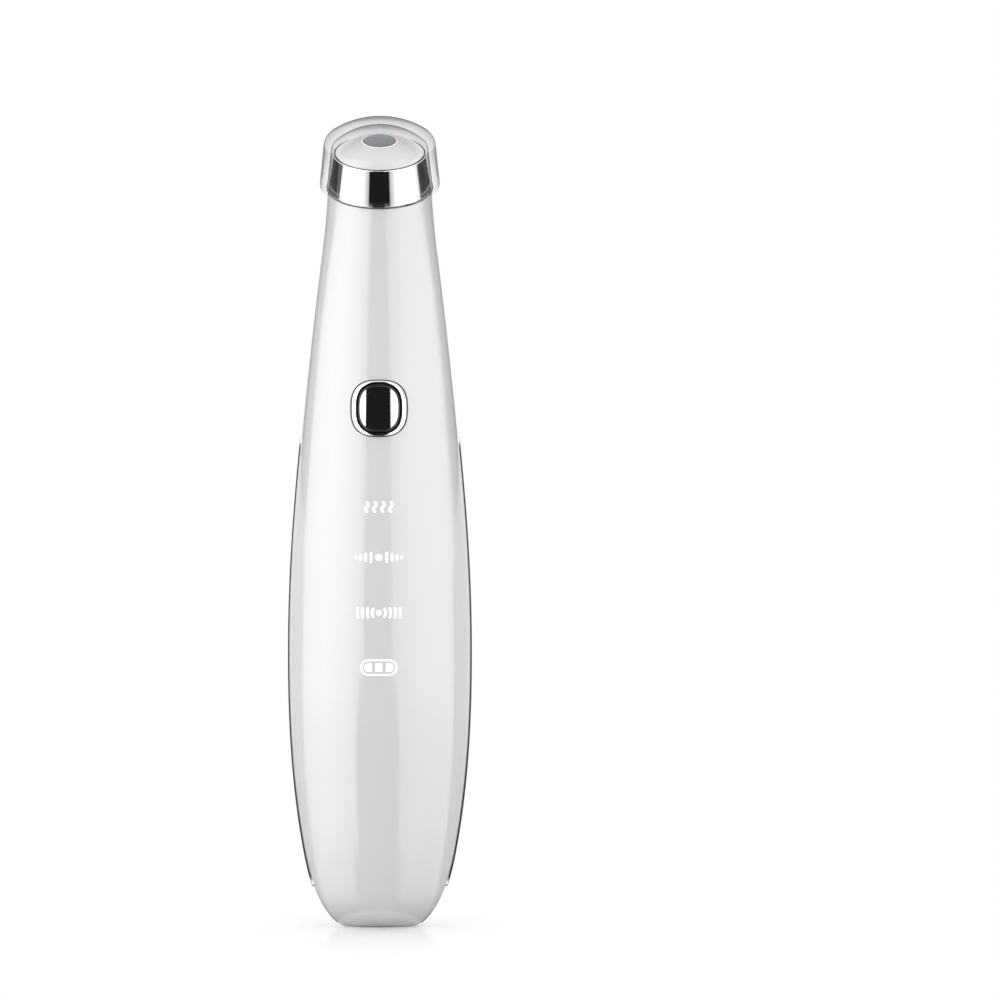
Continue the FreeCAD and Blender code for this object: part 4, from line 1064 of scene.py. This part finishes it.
# ---- Parts inside ----
class WAND_OT_inner_parts(bpy.types.Operator):
    """Finish the parts inside the wand and in its foot"""

    bl_idname = "wand.inner_parts"
    bl_label = "Inner parts"

    def execute(self, context):
        steel = dict(metallic=1.0, roughness=0.28, vary=0.04, grain=2400.0, stretch=(1.0, 1.0, 0.1))
        resin = dict(roughness=0.5, vary=0.05, grain=2200.0, bump=0.08)
        finishes = (
            ("socket_steel", "usb_shell", (0.74, 0.75, 0.76), dict(steel, roughness=0.2)),
            ("socket_tongue", "usb_tongue", (0.03, 0.03, 0.033), resin),
            ("switch_can", "tact_switch", (0.66, 0.67, 0.68), steel),
            ("switch_pin", "switch_plunger", (0.04, 0.04, 0.045), resin),
            ("chip_resin", "control_chip charger_chip", (0.02, 0.02, 0.022), dict(resin, grain=4000.0)),
            ("lamp_resin", "mode_lights gauge_lights", (0.86, 0.86, 0.76),
             dict(resin, roughness=0.3, coat=0.5)),
            ("light_box", "light_baffle", (0.025, 0.025, 0.028), resin),
            ("diffuser_film", "light_diffuser", (0.85, 0.86, 0.87),
             dict(resin, roughness=0.6, grain=6000.0)),
            ("natural_resin", "inner_frame", (0.70, 0.70, 0.67), dict(resin, grain=1400.0)),
            ("screw_metal", "frame_screws", (0.55, 0.56, 0.58), dict(steel, roughness=0.35)),
            ("cell_foil", "battery_cell", (0.6, 0.62, 0.65),
             dict(steel, roughness=0.3, bump=0.2, grain=600.0)),
            ("foam_pad", "battery_pad", (0.07, 0.07, 0.075),
             dict(resin, roughness=0.9, grain=3500.0, bump=0.5)),
            ("wire_sleeve", "battery_leads", (0.5, 0.02, 0.02), dict(resin, roughness=0.4)),
            ("motor_metal", "motor_can", (0.62, 0.63, 0.64), steel),
            ("shaft_metal", "motor_shaft", (0.7, 0.71, 0.72), dict(steel, roughness=0.15)),
            ("weight_metal", "eccentric_weight", (0.4, 0.41, 0.43),
             dict(steel, roughness=0.5, grain=5000.0)),
            ("sleeve_rubber", "motor_sleeve", (0.05, 0.05, 0.055), dict(resin, roughness=0.75)),
            ("carrier_resin", "head_carrier", (0.8, 0.8, 0.78), dict(resin, roughness=0.45)),
            ("heater_ceramic", "heater_ring", (0.82, 0.79, 0.7),
             dict(resin, roughness=0.55, grain=5000.0)),
            ("sensor_bead", "temperature_sensor", (0.08, 0.08, 0.22),
             dict(resin, roughness=0.25, coat=0.6)),
            ("lamp_board_mask", "lamp_board", (0.85, 0.85, 0.82), resin),
            ("red_lamp_resin", "red_lamp", (0.6, 0.02, 0.015), dict(resin, roughness=0.2, coat=0.8)),
            ("amber_film", "head_ribbon", (0.6, 0.27, 0.03), dict(resin, roughness=0.25, coat=0.4)),
        )
        for name, nodes, colour, look in finishes:
            made = coated(name, colour, **look)
            for node in nodes.split():
                dress(node, made)
        dress("main_board", solder_mask("board_mask", (0.02, 0.20, 0.08)))
        return {"FINISHED"}


def dress(node, finish):
    """Give a carried-over part its finish."""
    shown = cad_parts[node]
    shown.data.materials.clear()
    shown.data.materials.append(finish)


# ---- Studio ----
def card(name, azimuths, near, far, level):
    """Card bent round the wand between two azimuths in degrees, where 0 is the front and 90 the right. near
    and far are (distance, height) of its two long edges in metres: it stands up where they share their
    distance, and lies where they share their height. Only reflections see its inner or upper side, also
    through the clear cap: it gives metal and gloss their light and dark. level is a number or a function
    of a node maker."""
    turn = np.radians(np.linspace(*azimuths, CARD_STEPS))
    way = np.stack([np.sin(turn), -np.cos(turn), 0 * turn], axis=-1)
    points = np.concatenate([way * distance + (0, 0, height) for distance, height in (near, far)])
    look, finish = material(name + "_face")
    strength = level(finish) if callable(level) else level
    glow = finish.node("ShaderNodeEmission", None, {"Strength": strength})
    clear = finish.node("ShaderNodeBsdfTransparent")
    mirrored = finish.path("Glossy Depth").above(0.5)
    behind = finish.node("ShaderNodeNewGeometry", output="Backfacing")
    finish.link_out(finish.either(mirrored * (1 - behind), clear, glow))
    made = new_object(name, points, grid_faces(2, CARD_STEPS, False, False).reshape(-1, 4), look)
    made.visible_camera = made.visible_diffuse = False
    made.visible_shadow = made.visible_volume_scatter = False


def turning(*stops, away=((0.0, 1.0),)):
    """Level by azimuth in degrees, times a share by distance in metres. The azimuth is the angle whose
    tangent is x / -y."""
    def level(face):
        """The nodes for it, in a card's material."""
        spot = face.spot()
        x = face.node("ShaderNodeSeparateXYZ", None, {0: spot})
        y = face.node("ShaderNodeSeparateXYZ", None, {0: spot}, output=1)
        around = face.node("ShaderNodeMath", {"operation": "ARCTAN2"}, {0: x, 1: y * -1.0})
        return (around * (180 / math.pi)).along(stops) * face.far(spot).along(away)
    return level


def lamp(name, place, power, size=0.6, aim=(0.0, 0.0, 0.08)):
    """Square area lamp that lights surfaces but isn't itself seen in them."""
    light = bpy.data.lights.new(name, "AREA")
    light.energy, light.size = power, size
    made = bpy.data.objects.new(name, light)
    made.location = place
    made.rotation_euler = (Vector(aim) - Vector(place)).to_track_quat("-Z", "Y").to_euler()
    made.visible_glossy = made.visible_camera = made.visible_transmission = False
    bpy.context.scene.collection.objects.link(made)


class WAND_OT_stage(bpy.types.Operator):
    """Set up the floor, the light and the camera"""

    bl_idname = "wand.stage"
    bl_label = "Studio"

    def execute(self, context):
        scene, stage = context.scene, context.scene.wand_stage
        scene.world = bpy.data.worlds.new("studio")
        room = Finish(scene.world)
        white = (1.0, 1.0, 1.0, 1.0)
        plain = room.node("ShaderNodeBackground", None, {"Color": white, "Strength": stage.sky_level})
        bright = room.node("ShaderNodeBackground", None, {"Color": white, "Strength": 1.0})
        room.link_out(room.either(room.seen(), plain, bright), "ShaderNodeOutputWorld")

        look, finish = material("studio_floor_paint")
        edge = finish.far(finish.place((3.0, 1.0, 1.0))).ramp(0.0, 0.075)
        colour = finish.blend(
            finish.path("Is Camera Ray"), (0.55, 0.55, 0.555, 1.0), (0.93, 0.93, 0.935, 1.0))
        matt = finish.node("ShaderNodeBsdfDiffuse", None, {"Color": colour})
        sheen = finish.node("ShaderNodeBsdfGlossy", None, {"Color": white, "Roughness": 0.12})
        pale = finish.node("ShaderNodeEmission", None, {"Color": white, "Strength": 1.0})
        finish.link_out(finish.either(finish.seen() * edge, finish.either(0.40, matt, sheen), pale))
        reach = 4.0
        corners = [(-reach, -reach, 0), (reach, -reach, 0), (reach, reach, 0), (-reach, reach, 0)]
        floor = new_object("studio_floor", corners, [(0, 1, 2, 3)], look)
        floor.location.z = -0.00002  # just under the foot

        black = 0.012
        start, wall, rim_wall = 0.008, 0.65, 0.5  # distances of the mats' inner edge and of the walls
        glow_mat, edge_mat, dark_mat = 0.0002, 0.0003, 0.0004  # heights, so that no mat lies in another
        fading = ((0.01, 0.0), (0.022, 0.45), (0.09, 0.72), (0.65, 0.98))
        left_glow = (-104, 1.5), (-85, 2.5), (-58, 3.1), (-30, 2.3), (-14, 1.2)
        right_glow = (14, 1.2), (40, 2.2), (75, 2.5), (100, 1.9)
        glows = (("left", (-104, -14), (-101, -12), left_glow), ("right", (14, 100), (12, 94), right_glow))
        for side, stands, lies, glow in glows:
            card(side + "_glow", stands, (wall, 0.0), (wall, 0.6), turning(*glow))
            faded = turning(*glow, away=fading)
            card(side + "_glow_mat", lies, (start, glow_mat), (wall, glow_mat), faded)
        left_edge = (-172, 0.85), (-130, 0.6), (-101, 0.6)
        right_edge = (94, 0.7), (130, 0.7), (172, 0.85)
        edges = (
            ("left", (-172, -101), (-172, -106), (-157, -108), left_edge),
            ("right", (94, 172), (106, 172), (110, 157), right_edge),
        )
        for side, low, high, flag, glow in edges:
            card(side + "_edge", low, (rim_wall, 0.0), (rim_wall, 0.085), turning(*glow))
            card(side + "_edge_high", high, (rim_wall, 0.085), (rim_wall, 0.2), turning(*glow))
            faded = turning(*glow, away=fading)
            card(side + "_edge_mat", low, (start, edge_mat), (rim_wall, edge_mat), faded)
            card(side + "_flag", flag, (0.48, 0.105), (0.48, 0.2), black)
        card("front_card", (-15.5, 12.0), (0.25, 0.0), (0.25, 0.36), black)
        front_mats = (
            ("front_near_mat", (-30, 25), start, 0.05), ("front_mat", (-23, 19), 0.05, 0.28),
            ("front_far_mat", (-22, 17.5), 0.28, 0.4), ("front_last_mat", (-20.5, 16), 0.4, wall),
        )
        for name, azimuths, near, far in front_mats:
            card(name, azimuths, (near, dark_mat), (far, dark_mat), black)
        shelf = turning(
            (-60, 2.3), (-42, 1.1), (-27.2, 0.5), (-27, black),
            (27, black), (27.2, 0.45), (42, 1.1), (60, 2.2))
        card("band_shelf", (-60, 60), (0.05, 0.1), (0.21, 0.1), shelf)
        shaded = turning((59, black), (68, 0.03), (84, 0.32))
        card("right_card", (59, 84), (0.42, 0.2), (0.42, 0.5), shaded)

        lamp("top_lamp", (0.0, -0.05, 0.85), stage.top_power, 0.9, (0.0, 0.0, 0.0))
        lamp("left_lamp", (-0.75, -0.55, 0.32), stage.left_power)
        lamp("right_lamp", (0.72, -0.60, 0.30), stage.right_power)
        lamp("back_lamp", (0.55, 0.75, 0.35), stage.back_power)
        lamp("back_left_lamp", (-0.65, 0.65, 0.35), stage.back_power)

        shot = bpy.data.cameras.new("studio_camera")
        shot.lens, shot.sensor_width = stage.lens, 36.0
        shot.clip_start, shot.clip_end = 0.05, 20.0
        camera = bpy.data.objects.new("studio_camera", shot)
        scene.collection.objects.link(camera)
        tip = math.radians(1.0)
        aim = Vector((0.0221, 0.0, 0.0783))
        camera.location = aim + Vector((0.0, -math.cos(tip), math.sin(tip))) * stage.distance
        camera.rotation_euler = (math.radians(90) - tip, 0.0, 0.0)
        scene.camera = camera
        scene.view_settings.view_transform = "Standard"
        return {"FINISHED"}


# ---- Panel and run ----
STEPS = (
    WAND_OT_shells, WAND_OT_strips, WAND_OT_button, WAND_OT_head, WAND_OT_cap, WAND_OT_marks,
    WAND_OT_inner_parts, WAND_OT_stage,
)


class WAND_PT_panel(bpy.types.Panel):
    """Lists the wand's building steps with their settings"""

    bl_idname = "WAND_PT_panel"
    bl_label = "Heated Eye Massager Wand"
    bl_space_type = "VIEW_3D"
    bl_region_type = "UI"
    bl_category = "Wand"

    def draw(self, context):
        for step in STEPS:
            self.layout.operator(step.bl_idname)
        for group in (context.scene.wand_sizes, context.scene.wand_colours, context.scene.wand_stage):
            box = self.layout.box()
            for name in group.__annotations__:
                box.prop(group, name)


GROUPS = {"wand_sizes": WandSizes, "wand_colours": WandColours, "wand_stage": WandStage}


def register():
    """Make the settings, steps and panel known to Blender."""
    for made in (*GROUPS.values(), *STEPS, WAND_PT_panel):
        bpy.utils.register_class(made)
    for name, group in GROUPS.items():
        setattr(bpy.types.Scene, name, PointerProperty(type=group))


def unregister():
    """Take them away again."""
    for name in GROUPS:
        delattr(bpy.types.Scene, name)
    for made in (WAND_PT_panel, *STEPS[::-1], *GROUPS.values()):
        bpy.utils.unregister_class(made)


def main():
    """Build the wand and its studio."""
    register()
    for step in STEPS:
        group, name = step.bl_idname.split(".")
        getattr(getattr(bpy.ops, group), name)()
    bpy.context.view_layer.update()


if __name__ == "__main__":
    main()
